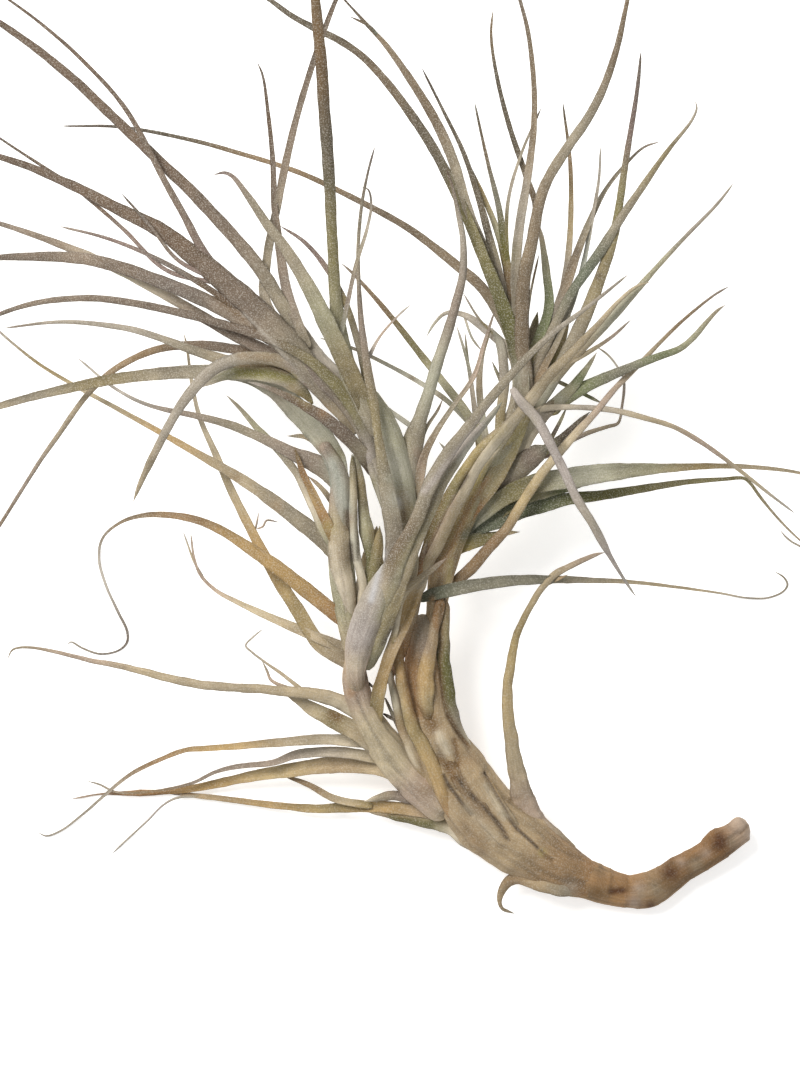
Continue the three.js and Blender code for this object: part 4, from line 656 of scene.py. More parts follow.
LEFT_MARKS = [
    (-71.3, 106, 1.6, "stone", 0.6),
    (-73.8, 109.5, 2, "moss", 0.7),
    (-80, 115, 2.2, "mist", 0.6),
    (-90, 123, 2.5, "mauve", 0.5),
    (-79, 111, 1.5, "rose", 0.5),
    (-68, 97, 1.2, "soot", 0.5),
    (-77, 91.5, 1.8, "wheat", 0.6),
    (-90, 96.5, 1.8, "bark", 0.6),
    (-100, 103.5, 1.6, "umber", 0.5),
]
LEFT_STRIPES = [
    (0, 0.4, "mauve", 0.6, [-74.2, 84.6, -72.4, 70.2]),
    # Painted highlight: the cream stripe left of the mauve one.
    (0, 1, "cream", 0.5, [-76, 86, -74.6, 78]),
    (0, 1.1, "plum", 0.5, [-73.5, 97, -71.4, 93.5]),
    (0, 2.2, "dew", 0.75, [-76, 107, -73.8, 101, -72.5, 96]),
    (0.4, 0.5, "soot", 0.7, [-69.5, 83, -69.4, 89, -69.6, 95]),
    (0.2, 0.8, "umber", 0.6, [-72.2, 95, -72.2, 91]),
    (0.5, 0.5, "soot", 0.85, [-71.2, 87, -70.8, 83]),
    (0.2, 0.5, "umber", 0.6, [-70, 77, -70, 72]),
    (0, 1.2, "khaki", 0.6, [-65.6, 90, -63, 83.5]),
    (0, 0.35, "umber", 0.7, [-79, 96, -81, 100, -83.4, 105, -85.2, 110.5]),
]
LEFT_EXTRA = [
    ("tan khaki cream khaki stone", "clasp", [17, 19, 20.5, 21.5],
     [[-69.5, 60, 4, -68, 68, 6.4, -67, 76, 7, -66.4, 83, 5.6, -65.4, 88, 3.2, -64.8, 91.5, 1.2]]),
    ("slate rose", "back", [16.6, 16, 16], [[-95.8, 88.6, 0.6, -94.9, 92, 0.5, -94.3, 95, 0.4]]),
    ("rose slate", "back", [16.4, 16, 16], [[-94.7, 90.8, 0.5, -93.3, 91.4, 0.5, -92.4, 92.9, 0.5, -89.2, 92.4, 0.4]]),
]
pale_leaf = skin("pale scurfy leaf", 0.34, 0.3, 0.35, 0.85)
left_leaves = mesh(
    "left_leaves",
    [stem(LEFT_STEM, "tan sage silver ash mauve", 64, 17)]
    + [leaf(row, 300 + i, 0.2) for i, row in enumerate([*LEFT_LEAVES, *LEFT_EXTRA])],
    LEFT_MARKS,
    LEFT_STRIPES,
)
dress(left_leaves, pale_leaf, "shoot_left")

# Upper left shoot: a fan of mauve-grey leaves, dusted with pale scurf, with dark fine tips.
UPPER_STEM = [
    [-61.8, 97, 30, 2.2], [-64.4, 103.5, 32.4, 1.8], [-66.4, 109.5, 34, 1.6], [-68, 115, 35.6, 1.8],
    [-71.5, 121, 37.6, 2.2], [-77, 127.5, 39.6, 2.6], [-84, 133, 41, 2.6], [-92, 139, 43, 1.6],
]
UPPER_LEAVES = [
    ("taupe stone heath dusk dusk dusk dusk", "back", [36.5, 46, 46, 34, 14],
     [[-69.9, 114.6, 1.6, -72, 117.3, 2.8, -74.5, 120.4, 3.2, -77.4, 124, 4.2, -81, 129.6, 5.8, -88,
      138.8, 7, -96, 146.3, 6, -103, 152.5, 5.5, -110, 158.5, 4.8, -120, 166, 3.8, -130, 171, 3, -140,
      176.3, 2.5, -150, 180.7, 2, -159, 183.7, 1.6, -167, 186, 0.7]]),
    ("pearl stone heath dusk dusk dusk dusk", "back", [38, 46, 38, 22, 3],
     [[-73, 127, 4, -80, 134, 4.2, -88, 146, 3.5, -96.5, 159, 3.3, -110, 174, 3, -120, 183.5, 2.6, -130,
      193, 2.4, -140, 202.5, 2.3, -150, 211, 2, -159, 217.3, 1.6, -167, 222.5, 0.6]]),
    ("plum heath dusk dusk dusk", "back", [46.4, 42, 26, 0.5],
     [[-101, 151, 2.4, -107.5, 159, 2.2, -113, 169, 1.8, -118, 178, 1.6, -125, 191.5, 1.3, -130, 199,
      1.1, -140, 209.5, 1, -150, 218, 0.8, -163, 227.5, 0.5]]),
    ("plum plum dusk dusk soot", "back", [46.4, 42, 28, 16],
     [[-103.5, 152, 1.2, -117, 155.3, 1.1, -128, 165.5, 1, -141, 176.5, 0.9, -150, 182.5, 0.8, -162.5,
      190.7, 0.5]]),
    ("slate plum heath slate soot", "back", [46.4, 45, 42],
     [[-104, 152.5, 1.2, -114.5, 158, 1, -121, 166, 0.8, -128.7, 174.7, 0.5]]),
    ("soot dusk slate plum mauve", "back", [43, 47, 42, 34],
     [[-93, 139.5, 2, -103, 148.3, 1.6, -112, 154, 1.4, -122, 159.3, 1.1, -132, 163.3, 0.9, -144, 166.4,
      0.5]]),
    ("dusk fallow slate heath fallow heath heath", "back", [42, 46, 38, 24, 10],
     [[-86, 135, 3.6, -100, 144, 4, -115, 151, 3.3, -125, 155, 3.2, -135, 157.8, 3, -143, 158.8, 2.8,
      -150, 158.8, 2.3, -159, 158.6, 1.6, -167, 157.3, 0.6]]),
    ("mauve heath cream fallow mauve", "back", [40, 41, 30, 18, 6],
     [[-84.5, 131.6, 2.4, -90, 134, 3, -100, 139, 3, -112, 146, 2.6, -128, 154.8, 2, -138, 159.5, 2.2,
      -150, 164, 1.6, -159, 167, 1.2, -167, 169.3, 0.5]]),
    ("lilac moss heath heath fallow heath", "back", [34, 44, 46, 42, 30, 12],
     [[-65.7, 103, 1.6, -66.2, 108, 2.4, -67, 113, 3, -68.7, 118.2, 4, -71.2, 122.4, 4, -74.2, 126.1,
      3.4, -77.6, 129.4, 3, -81, 132.4, 2.7, -85, 135, 2.5, -90, 137.6, 2.3, -95, 139.4, 2.2, -105,
      142.3, 2.1, -120, 146.2, 1.9, -136, 148.5, 1.7, -150, 147.2, 1.4, -159, 144.5, 1.1, -167, 140.8,
      0.5]]),
    ("olive taupe stone ash ash mauve", "back", [39.6, 40, 38, 34, 26],
     [[-80.5, 126.6, 2.4, -84, 129, 3, -88, 130.6, 3, -98, 131.8, 3, -110, 135.3, 2.4, -120, 138.9, 1.7,
      -128, 141, 1.5, -143, 142.5, 1, -157.7, 141, 0.5]]),
    ("bark heath bark taupe mauve bark", "back", [40, 36, 28, 22, 18, 8, 0.5],
     [[-82, 130.4, 2.6, -86, 132.7, 2.8, -92, 134.6, 2.6, -98, 135.4, 2.6, -110, 136.8, 2.2, -121,
      135.3, 1.8, -130, 130.8, 1.6, -136.5, 125, 1.5, -145, 113.5, 1.3, -150, 106.3, 1.1, -159, 91.8,
      0.9, -164, 84, 0.5]]),
    ("stone mauve taupe ash ash ash taupe tan", "back", [39, 43, 47, 46, 42, 36],
     [[-75, 120.6, 2, -78.4, 124.6, 3.6, -82.5, 129, 4, -87, 132, 3.4, -92, 133.4, 3.1, -98, 133.3, 3.2,
      -103, 132, 3.2, -107, 129.6, 3, -110, 126.5, 2.8, -114, 121.5, 2.4, -117, 116.5, 2.2, -119.5,
      111.5, 2, -122, 106.5, 1.9, -124, 102, 1.3, -125.7, 97.5, 0.5]]),
    ("dusk stone heath heath dusk fallow lilac", "face", [33.8, 40.6, 42.2, 42],
     [[-65.5, 104, 2.4, -67.2, 107.8, 3.6, -70.2, 111.6, 3.5, -74, 115.3, 3.4, -78, 118.6, 3, -82, 121,
      2.4, -87, 123.8, 1.8, -93, 126.4, 1, -97, 127.5, 0.7]]),
    ("stone mauve fallow heath dusk dusk", "face", [44, 45, 43, 40],
     [[-82, 136, 2.4, -87, 149, 2.6, -89, 160, 2.2, -90.3, 171, 1.7, -90.8, 183, 1.3, -91.9, 194, 1,
      -93.3, 204, 0.6, -94.7, 207.5, 0.5]]),
    ("ash stone fallow heath dusk", "face", [43, 43, 46, 48, 50],
     [[-87, 138, 2.4, -92.7, 148, 2.6, -92.2, 158.5, 2.2, -90, 170, 2, -87.2, 184, 1.9, -84.8, 194, 1.7,
      -81, 206.5, 1.5, -77, 218, 1.3, -75, 223, 1.1, -71, 231.5, 0.5]]),
]
UPPER_MARKS = [
    (-66.6, 102, 1.8, "loden", 0.85),
    (-78, 120, 1.6, "rust", 0.45),
]
UPPER_STRIPES = [
    (0, 0.5, "pearl", 0.5, [-83.4, 127.8, -90.4, 137, -98, 144.3]),
    (0, 2, "moss", 0.6, [-68.5, 117.5, -72, 122.5, -76, 127.6]),
    (0, 0.9, "bark", 0.6, [-99, 134, -91, 133.4]),
    (0.3, 1.5, "vivid", 0.9, [-99, 129.8, -92, 129.7, -86, 128.2]),
    (0.3, 0.5, "umber", 0.8, [-109.2, 151.6, -103, 147.2, -95.2, 140.8]),
    (0, 0.5, "hazel", 0.6, [-99, 131.3, -92, 131.2, -87, 130]),
    (0, 0.6, "ash", 0.6, [-99, 128, -91, 127.4, -84, 125.2]),
    (0, 1.1, "loden", 0.8, [-83.6, 124.5, -82.8, 123.8]),
    (0, 1.6, "slate", 0.5, [-86, 132, -81, 127.5, -76.5, 123.5]),
    (0, 1.6, "khaki", 0.6, [-86, 126, -82, 122.5]),
]
CHANNEL = [
    ("loden ash sage sage ash", "face", [37, 40, 42, 41, 38],
     [[-80.8, 122, 0.8, -82.6, 124.4, 2.4, -85.5, 126.8, 3.8, -89, 128.6, 3.9, -93.5, 129.5, 3.7, -98, 129.7,
      3.3, -102, 129.2, 2.4, -106, 127.7, 1.6, -109, 126, 0.6]]),
]
mauve_leaf = skin("mauve scurfy leaf", 0.34, 0.3, 0.35, 0.85)
upper_leaves = mesh(
    "upper_left_leaves",
    [stem([(-58.2, 90, 29.5, 2.2), *UPPER_STEM], "silver ash mauve mauve", 64, 23)]
    + [leaf(row, 400 + i) for i, row in enumerate([*UPPER_LEAVES, *CHANNEL])],
    UPPER_MARKS,
    UPPER_STRIPES,
)
dress(upper_leaves, mauve_leaf, "shoot_upper_left")

# Centre shoot: pale sage sheaths that swell at the base, and one tall upright leaf.
CENTRE_STEM = [
    [-57, 80, 28, 2.4], [-57.6, 88, 31, 2.8], [-57.9, 96, 34, 3], [-58.9, 104, 37.5, 3.2], [-60.8, 112,
    40.5, 3], [-63.4, 119, 43, 2.4], [-66.5, 125, 44.6, 1.5],
]
CENTRE_LEAVES = [
    ("stone sage moss moor umber bark", "back", [43, 54, 64, 72, 78],
     [[-64, 114, 4.2, -68.5, 123, 4.6, -72.5, 132, 4.6, -74.2, 141, 3.8, -75.2, 150, 2.9, -76, 162, 2.6,
      -76.6, 175, 2.8, -77.4, 190, 3, -78.5, 205, 2.9, -79.7, 218, 2.6, -80.6, 228, 2, -81.5, 236, 0.8]]),
    ("olive olive sage stone stone plum", "face", [43, 54, 58, 52, 46],
     [[-66, 118, 4, -72, 131, 4.6, -77.5, 142.5, 4.4, -82, 151.5, 3.5, -88, 161.3, 2.7, -92.5, 167.3,
      2.3, -97, 174, 1.7, -101, 179, 1, -103, 179.8, 0.8, -105.5, 179.3, 0.6]]),
    ("moss moss stone olive plum plum", "back", [43, 49, 55, 54],
     [[-63.5, 113, 2.6, -66.5, 124, 2.2, -69, 136, 1.8, -73, 148, 1.6, -77.5, 156, 1.4, -83, 162.5, 1,
      -89, 166.5, 0.5]]),
    ("silver mauve stone ash slate", "face", [55, 60, 56, 50],
     [[-73.8, 139, 1.2, -70.2, 156, 1, -67.2, 166, 0.8, -66.2, 172, 0.6, -67, 175.6, 0.5, -68.7, 176.3,
      0.5]]),
    ("mist stone silver mauve ash dusk", "clasp", [37, 42, 47, 51, 50],
     [[-58.7, 94, 1.8, -58.3, 97.7, 3.4, -57.6, 101.7, 5.2, -57.3, 107, 6, -55.8, 113, 5.2, -54.2,
      117.7, 3.6, -52.5, 123, 3, -50.7, 129, 2.9, -48, 137, 2.6, -45, 147, 2.2, -43.2, 155, 1.9, -43.1,
      163, 1.6, -44.5, 170, 1.2, -46, 176.5, 0.7, -47.6, 181.3, 0.5]]),
    ("mist mist mist", "face", [42, 43],
     [[-55.5, 116, 1.3, -60, 119.2, 1.2, -65, 123.2, 0.6]]),
    ("fern silver stone loam", "face", [39, 40, 40],
     [[-55, 106, 1.2, -52.9, 115, 1, -49.5, 120.5, 0.7, -48.3, 123.2, 0.5]]),
    # dry leaf and sheath at the base
    ("taupe loam stone rose mauve", "face", [36, 41, 42, 40],
     [[-56, 96.5, 2.4, -54.2, 103.5, 2.6, -52.8, 109.5, 2, -50, 115, 1.5, -46, 121, 1.2, -40.5, 129,
      1.2, -38, 137, 0.9, -35.2, 145.5, 0.5]]),
    ("cream tan cream", "clasp", [38, 43, 45],
     [[-60.6, 103, 1.6, -61, 108, 3.2, -61, 113, 4.6, -62.4, 117.5, 3.6, -64, 122.5, 1.6]]),
]
CENTRE_MARKS = [
    # Painted highlight: blue-white haze at the lower left of the big pale sheath.
    (-58.8, 98, 2.2, "highlight_haze", 0.8),
    (-60.4, 107, 3.4, "mist", 0.65),
    (-59, 112, 2.6, "sage", 0.5),
]
CENTRE_STRIPES = [
    (0, 1.6, "olive", 0.7, [-58.8, 99.5, -56.5, 95.5]),
    (0, 1.6, "umber", 0.7, [-58.3, 94.5, -56, 89]),
    (0, 1.1, "rose", 0.6, [-54.7, 110, -52.7, 102]),
]
sage_leaf = skin("sage scurfy leaf", 0.34, 0.3, 0.35, 0.85)
centre_leaves = mesh(
    "centre_leaves",
    [stem([(-69, 60, 24, 2.2), (-66, 67, 25.5, 2.2), (-60.5, 74.5, 27, 2.4), *CENTRE_STEM], "taupe taupe sage silver sage", 64, 29)]
    + [leaf(row, 500 + i) for i, row in enumerate(CENTRE_LEAVES)],
    CENTRE_MARKS,
    CENTRE_STRIPES,
)
dress(centre_leaves, sage_leaf, "shoot_centre")

# Front shoot: one long lavender-grey leaf with a broad sheath, and the strips that rise behind it.
FRONT_STEM = [
    [-70, 55.6, 27, 2.4], [-69.3, 61, 29.5, 3.4], [-66.5, 69, 33, 4], [-63.5, 76, 37, 3.4], [-61, 82,
    40, 2],
]
FRONT_LEAVES = [
    ("cream buff drab stone stone stone ash ash", "back", [29.5, 42, 50, 55, 57, 55],
     [[-69.9, 55, 4.6, -69.4, 60, 6.6, -66.4, 68, 6.8, -62.8, 76, 6, -59.4, 84, 4.6, -57, 89, 3.6,
      -54.6, 94, 3.4, -51.3, 102.3, 3.5, -46.9, 109.6, 3.2, -42, 116, 2.7, -36, 123.6, 2.3, -29.5,
      131.3, 2, -22, 138.8, 1.5, -14, 144.8, 1.1, -8, 149.5, 0.8, -2, 154.3, 0.5]]),
    ("sage olive tan stone mist silver", "clasp", [29.5, 39, 45, 48, 48],
     [[-67.6, 55.4, 3, -65.2, 61.5, 4.8, -61.9, 71, 5.2, -58.6, 80, 4.5, -55.3, 87.7, 3.6, -51.5, 95.3,
      3.1, -48.8, 101, 2.8, -46.3, 105.3, 2.6, -41.6, 112.6, 2.2, -37, 118, 1.6, -33.5, 122.5, 1]]),
    ("stone pearl silver", "face", [52, 52],
     [[-46, 109, 1, -49.3, 112.5, 0.7]]),
    # upright leaf behind, with a thin sprig
    ("slate stone olive mauve stone slate", "back", [38.5, 47, 51.5, 54, 55],
     [[-63.3, 76, 3.6, -61.6, 80, 4, -60.6, 84.5, 4.4, -60.6, 90, 4.7, -61.4, 95, 4.3, -62.3, 100.3,
      3.9, -63.2, 105.7, 3.1, -63.9, 110.5, 2.4, -64.7, 115.5, 2.1, -65.6, 123, 2.4, -67, 130, 2.2,
      -68.4, 140, 1.6, -69.2, 150, 1.1, -69.5, 162, 0.9, -68.4, 173, 0.8, -67, 180, 0.6, -65.3, 186.3,
      0.5]]),
    ("pearl rose pearl", "face", [52.6, 49, 45],
     [[-67.3, 133, 1.2, -64, 138.9, 0.6, -59, 144.5, 0.5, -56.3, 146.8, 0.5]]),
]
FRONT_MARKS = [
    (-59.4, 98.5, 2.4, "mist", 0.8),
    (-61.2, 103.4, 1.6, "silver", 0.7),
    (-57, 90.8, 1.5, "drab", 0.7),
    (-70, 57, 3, "cream", 0.6),
]
FRONT_EXTRA = [
    ("rose rust fawn rust mauve", "clasp", [23, 25.5, 27, 28],
     [[-63.5, 52, 3.4, -60, 60, 5, -57.2, 68, 5, -55.2, 75, 4, -53.4, 82, 2, -52.2, 88, 0.8]]),
]
FRONT_STRIPES = [
    (0, 1.1, "sage", 0.7, [-64, 68.5, -56.3, 86.2, -48.5, 97]),
    # Lilac down the long leaf's left half and olive down its right half, here and below: partly its own colour, partly
    # painted light and shade on the two halves of its fold.
    (0, 0.8, "lilac", 0.6, [-52.6, 100.2, -44.8, 109.5, -38.6, 116.5]),
    (0.2, 0.5, "olive", 0.6, [-60.6, 70, -54, 85, -47, 97.4]),
    (0, 1.8, "lilac", 0.6, [-64.5, 78, -67.2, 70, -70, 61]),
    (0, 1.5, "olive", 0.5, [-60.5, 75, -63, 68, -65.6, 60.5]),
    # Painted highlight: blue-white haze along the long leaf's left edge.
    (0, 0.9, "highlight_haze", 0.7, [-63.3, 85, -64.6, 79, -66.2, 73]),
    (0, 1, "lilac", 0.6, [-53.2, 100.2, -45.4, 109.2, -35.8, 121.2]),
    (0, 1.3, "olive", 0.55, [-59.2, 82.2, -52, 93, -45.4, 106.8]),
    # Painted shade: the soot line darkens a slit in the long leaf's fold.
    (0.5, 0.5, "soot", 0.8, [-61.2, 65.5, -63.3, 61.8]),
]
lavender_leaf = skin("lavender scurfy leaf", 0.34, 0.3, 0.35, 0.85)
front_leaves = mesh(
    "front_leaves",
    [stem([(-69.8, 50, 20.5, 2.2), *FRONT_STEM], "fawn rose lilac ash sage", 72, 31)]
    + [leaf(row, 600 + i, 0, 4, 4) for i, row in enumerate([*FRONT_LEAVES, *FRONT_EXTRA])],
    FRONT_MARKS,
    FRONT_STRIPES,
)
dress(front_leaves, lavender_leaf, "shoot_front")

# Right shoot: the largest, with olive to sage leaves above, and green, ochre and grey ones to the right.
RIGHT_STEM = [
    [-49.4, 74.6, 22.4, 2.8], [-48.6, 79.6, 23.4, 3.3], [-46.3, 87, 24.8, 3.2], [-42.8, 95, 26.6, 3.3],
    [-38.6, 103, 28.4, 3.5], [-34, 110.5, 30.4, 3.4], [-30.2, 117.5, 32.4, 3], [-28.5, 125, 34.4, 2.6],
    [-28.3, 134, 36.5, 2.2], [-29.3, 144, 39, 1.6],
]
RIGHT_LEAVES = [
    # clasping leaf bases
    ("bark peat moss khaki taupe ash", "clasp", [26.5, 31, 34, 36],
     [[-54.2, 80.5, 2.2, -51.4, 87.5, 3.4, -48.9, 94, 3.3, -46.4, 99.5, 3, -43.3, 104.8, 2.6, -39.8,
      109.6, 2.6, -36, 113.5, 2.4, -31, 118, 2, -27, 121, 1.4]]),
    ("buff tan cream tan tan buff", "clasp", [26, 34, 39, 43.5, 46, 44],
     [[-56, 76.6, 2, -52.8, 81.3, 2.8, -50, 85.8, 3, -47.3, 91.5, 2.9, -44.6, 97.2, 2.8, -41.9, 102.2,
      2.6, -39.4, 106.6, 2.4, -36.6, 110.5, 2.4, -32, 116, 2.6, -26.5, 122.5, 3.2, -21, 129.5, 2.8, -15,
      136, 2.1, -9.5, 142, 1.4, -4, 148, 1, 0.5, 151.6, 0.7, 3.4, 152.4, 0.5]]),
    ("wheat cream khaki wheat cream", "clasp", [24.4, 28, 32, 34],
     [[-47.3, 76.8, 2.5, -46.3, 81.3, 2.5, -45.2, 85.5, 2.3, -44.2, 89.3, 2.1, -42.9, 93.5, 2, -41.2,
      97.5, 1.9, -39.4, 101.8, 1.8, -37.5, 106, 1.8, -34, 111, 1]]),
    ("wheat honey khaki khaki wheat khaki", "face", [27, 32, 34, 37],
     [[-43.6, 89.5, 2, -41, 95, 3, -37.5, 100, 4, -34.4, 105, 4.4, -31, 111, 3.6, -28, 117, 2.2, -26.5,
      120.5, 1.2]]),
    ("lichen mauve stone mauve lichen", "back", [28, 31, 33],
     [[-38, 99, 5, -32, 103.5, 6, -26.5, 108, 5.5, -22, 111.5, 3]]),
    ("cream cream cream ash olive", "face", [30, 33, 35],
     [[-33, 103, 4, -29.5, 110, 4.4, -26, 116, 4, -22, 120.5, 3.4, -18.5, 123, 2]]),
    ("sage olive ash mist", "back", [34, 37],
     [[-33.8, 107, 2.6, -34, 113, 2.6, -34, 119, 2.4, -33, 128, 2.6, -34, 137, 2.2, -36, 141, 0.8]]),
    ("mauve stone sage stone", "back", [35.2, 37],
     [[-33.1, 126, 1, -36, 132.7, 0.6]]),
    # level leaves to the right
    ("silver moss silver sage khaki tan tan", "face", [26, 32, 34, 24, 12, 5],
     [[-42.6, 89.6, 1.8, -40.8, 92, 2.8, -38.2, 94.6, 3.6, -35, 97.3, 4.2, -31.5, 99.6, 4.5, -27, 101.5,
      4.8, -23, 102.5, 5, -16, 103.5, 5.2, -9, 104.6, 4.8, -2, 105.3, 3.8, 5, 105.8, 2.6, 12, 106.2,
      1.9, 20, 106.5, 1.4, 28, 106.3, 1.2, 35, 105.7, 1, 40.5, 104.8, 0.8, 46, 103.3, 0.5]]),
    ("pine forest loden moss moss taupe ash", "face", [24, 28, 28, 20, 8, 1, 0.5, 0.5],
     [[-43.4, 88.9, 2.2, -39.5, 90.7, 2.8, -35, 92.7, 4.2, -30, 95, 4.3, -24, 96.7, 4.2, -17, 98.3, 3.2,
      -10, 99, 2.6, -2, 100.2, 2.2, 6, 101.5, 1.8, 14, 102.6, 1.4, 22, 103.2, 1, 27, 103.4, 0.9, 28.6,
      102.2, 0.8, 30.5, 99.5, 0.8, 33.5, 95.7, 0.7, 37, 91.8, 0.6, 40.6, 88.3, 0.5, 43.8, 85.6, 0.5,
      44.4, 84.4, 0.5, 43.4, 84.3, 0.5, 41, 86.4, 0.5, 39, 87.5, 0.5, 37.3, 88.9, 0.5, 36, 90.5, 0.5]]),
    ("fern moss fern sage fern silver", "face", [25, 29, 30],
     [[-38, 92, 3, -30, 97.5, 3.4, -23, 100, 3.2, -17, 101, 2, -13, 101.5, 0.8]]),
    ("wheat wheat moss moss tan khaki", "face", [24, 25, 24],
     [[-46, 84.8, 3, -42.6, 87.2, 4.3, -38.7, 88.2, 3.4, -35.9, 89, 2.2, -32.4, 89.7, 1.3, -29, 90, 0.6]]),
    # dry leaves that cross in front
    ("bark hazel straw buff rose tan bark mauve", "back", [23, 30, 36, 40, 36, 28, 20],
     [[-46, 76.4, 2.6, -43.8, 78.6, 3, -41.2, 80.9, 3, -37.6, 85, 2.8, -34.6, 88.2, 2.7, -32.2, 90.9,
      2.5, -29.8, 95, 2.5, -26.7, 100, 2.5, -23.5, 104.8, 2.4, -20.5, 108.5, 2.3, -15, 114.8, 2.1, -10,
      120, 1.7, -5, 126, 1.5, 0, 131, 1.3, 6, 137.3, 1, 13, 144, 0.8, 20, 149.5, 0.6, 23.3, 151.4, 0.5]]),
    ("cream ash tan rose buff pearl", "back", [34, 38, 38, 30, 20, 12],
     [[-27, 119.8, 2, -22, 121, 1.7, -14, 121.1, 1.3, -6, 120.4, 1.5, 2, 118.6, 1.4, 9, 116.5, 1.2, 15,
      113.3, 1.3, 21, 109.2, 1.1, 26.5, 105, 1, 33, 99.8, 0.8, 39.8, 94.6, 0.5]]),
    ("lilac lilac lilac ash lilac pearl", "back", [44, 46, 46, 44, 38, 30],
     [[-31, 126, 2, -29, 123, 2.4, -25, 118.5, 2.6, -21.5, 112.3, 2.4, -18.5, 106, 2.3, -15, 98.5, 2.3,
      -11, 92.2, 2.1, -8, 86.8, 2, -6.5, 84, 1.2, -3.5, 79, 0.8, 0, 73.8, 0.5]]),
    # right hand leaves
    ("sage fern lichen fern sage taupe", "back", [34, 38, 38, 34, 30],
     [[-22, 120, 4, -18, 123.3, 3.8, -13, 126.2, 3.1, -6, 129.3, 2.5, 0, 131.8, 2.1, 6, 134, 1.9, 11,
      135.9, 1.6, 14.5, 138.7, 1.5, 18, 142.7, 1.2, 20.3, 145.2, 0.9, 22.4, 146.8, 0.5]]),
    ("wheat silver sage fern sage tan", "back", [34, 38, 42],
     [[-22, 119.5, 3.2, -18.5, 123.5, 3, -16, 126, 2.6, -13, 130, 1.6, -9.8, 134.9, 0.5]]),
    ("moss sage moor soot moor moor", "back", [32, 36, 36],
     [[-24, 109.5, 3, -19, 113.2, 1.8, -15, 116.8, 1.4, -11.5, 120, 0.8]]),
    ("plum slate taupe mauve pearl cream", "back", [31, 34, 30, 34, 36],
     [[-24, 109, 3, -18, 112, 1.5, -12, 114.7, 1.2, -7, 116.3, 1, -4.6, 117, 0.8, -3.9, 118.3, 0.7,
      -3.5, 121, 0.7, -3, 125, 0.7, -3.1, 128.3, 0.6, -4.6, 131.2, 0.5, -7, 134.2, 0.5, -10, 136.4, 0.5]]),
    ("sage sage ash sage fern moor", "face", [36, 34, 34],
     [[-30, 129.6, 1.2, -26.5, 130, 1.2, -20, 127.8, 1, -14.5, 125.2, 1, -8.5, 122.2, 0.8]]),
    ("pine moss slate sage olive", "face", [31, 33, 34],
     [[-23, 110, 1.4, -19, 117.5, 0.9, -17.3, 121.2, 0.6]]),
    # long leaves of the crown
    ("stone loden moss moor drab moor moor", "face", [38, 46, 46, 40, 30, 18],
     [[-28.5, 120, 3.2, -28.6, 128, 3.8, -30, 136, 4, -33.5, 147, 3.5, -37.5, 157, 2.9, -43, 170.3, 2.6,
      -50, 184.7, 2.5, -56, 194, 2.3, -62, 202, 2, -68, 208.5, 1.8, -74, 212.8, 1.8, -80.5, 216, 1.7,
      -86, 219, 1.4, -91.5, 223, 1.2, -99, 228, 0.6]]),
    ("moss moor stone drab loam soot", "face", [38, 46, 44, 38, 32],
     [[-31, 139, 2.4, -36.5, 157, 2.3, -41.8, 170, 2.3, -46, 183.5, 2.6, -50.5, 193.5, 2.4, -57, 204,
      1.9, -62.5, 211.7, 1.4, -67, 216.6, 1, -71, 221, 0.6, -75, 225.3, 0.5]]),
    ("lichen pine moor drab slate", "face", [36, 35],
     [[-62.5, 211.7, 0.8, -66.5, 216.3, 0.8, -69, 217.7, 0.6, -71.7, 218.9, 0.5]]),
    ("pine ash moor moor moor soot", "face", [38, 44, 42, 38],
     [[-30.5, 140, 2.4, -36.5, 163, 2, -39.8, 175, 1.5, -43.5, 185.7, 1.1, -48, 195, 0.8, -53.5, 206,
      0.5]]),
    ("moss bark sage khaki moor", "face", [38, 42, 42],
     [[-30, 142, 1.8, -34.3, 164, 1.6, -38, 173.5, 1.3, -44, 186, 0.6]]),
    ("moor bark loden lichen drab moor", "face", [38, 46, 50],
     [[-29.5, 140, 2.2, -32.7, 160, 1.8, -34.3, 171, 1.5, -37.1, 182.5, 0.9, -40.3, 197.3, 0.5]]),
    ("drab moor drab moor moor bark", "face", [40, 46, 50, 52],
     [[-29.3, 142, 1.4, -25, 170.5, 1.6, -27.3, 178.5, 1.5, -31.5, 191, 1.3, -34.6, 203, 1, -36.2, 214,
      0.7, -35.8, 220.3, 0.5]]),
    ("soot stone ash loam drab slate", "face", [38, 48, 54, 50, 40],
     [[-28.4, 124, 2.6, -28.6, 131, 3, -29, 138, 3, -30, 155, 2.6, -29, 167, 2.3, -26.9, 180, 1.9,
      -25.5, 192, 1.5, -25.6, 203, 1.3, -27, 215, 1.1, -29, 223, 0.9, -31.5, 231.5, 0.5]]),
    ("loden moss ash stone ash", "face", [42.5, 49, 50],
     [[-32.1, 155, 1, -32, 172.5, 0.9, -28.5, 185, 0.7, -23.7, 196, 0.5]]),
    ("loam drab loam stone drab bark", "back", [38, 50, 56, 52, 44],
     [[-27.2, 122, 3, -27.6, 129, 3.6, -28.5, 136, 3.6, -28, 152, 3.4, -25.6, 164, 2.9, -23, 176, 2.6,
      -17, 186.5, 2.5, -12, 193.5, 2.3, -8, 201.5, 2, -4.8, 211, 1.6, -2.7, 220, 1.2, 0, 234, 0.5]]),
    ("moor stone ash straw bark moor", "face", [38, 44, 48],
     [[-24.8, 127, 2, -22.2, 133, 2.2, -20.5, 139, 2, -17, 158.5, 1.6, -16.3, 170, 1.3, -16.5, 183, 1,
      -18.3, 197.5, 0.5]]),
    ("silver stone olive moss plum slate", "back", [35, 42, 44, 40, 36],
     [[-25, 121, 3, -18.5, 132, 3.4, -13, 143.5, 3.4, -8.5, 155, 2.8, -5.8, 163, 2.4, -4, 173, 1.9,
      -2.5, 183, 1.6, -0.8, 193, 1.3, 0.7, 203, 1, 1.3, 210.3, 0.5]]),
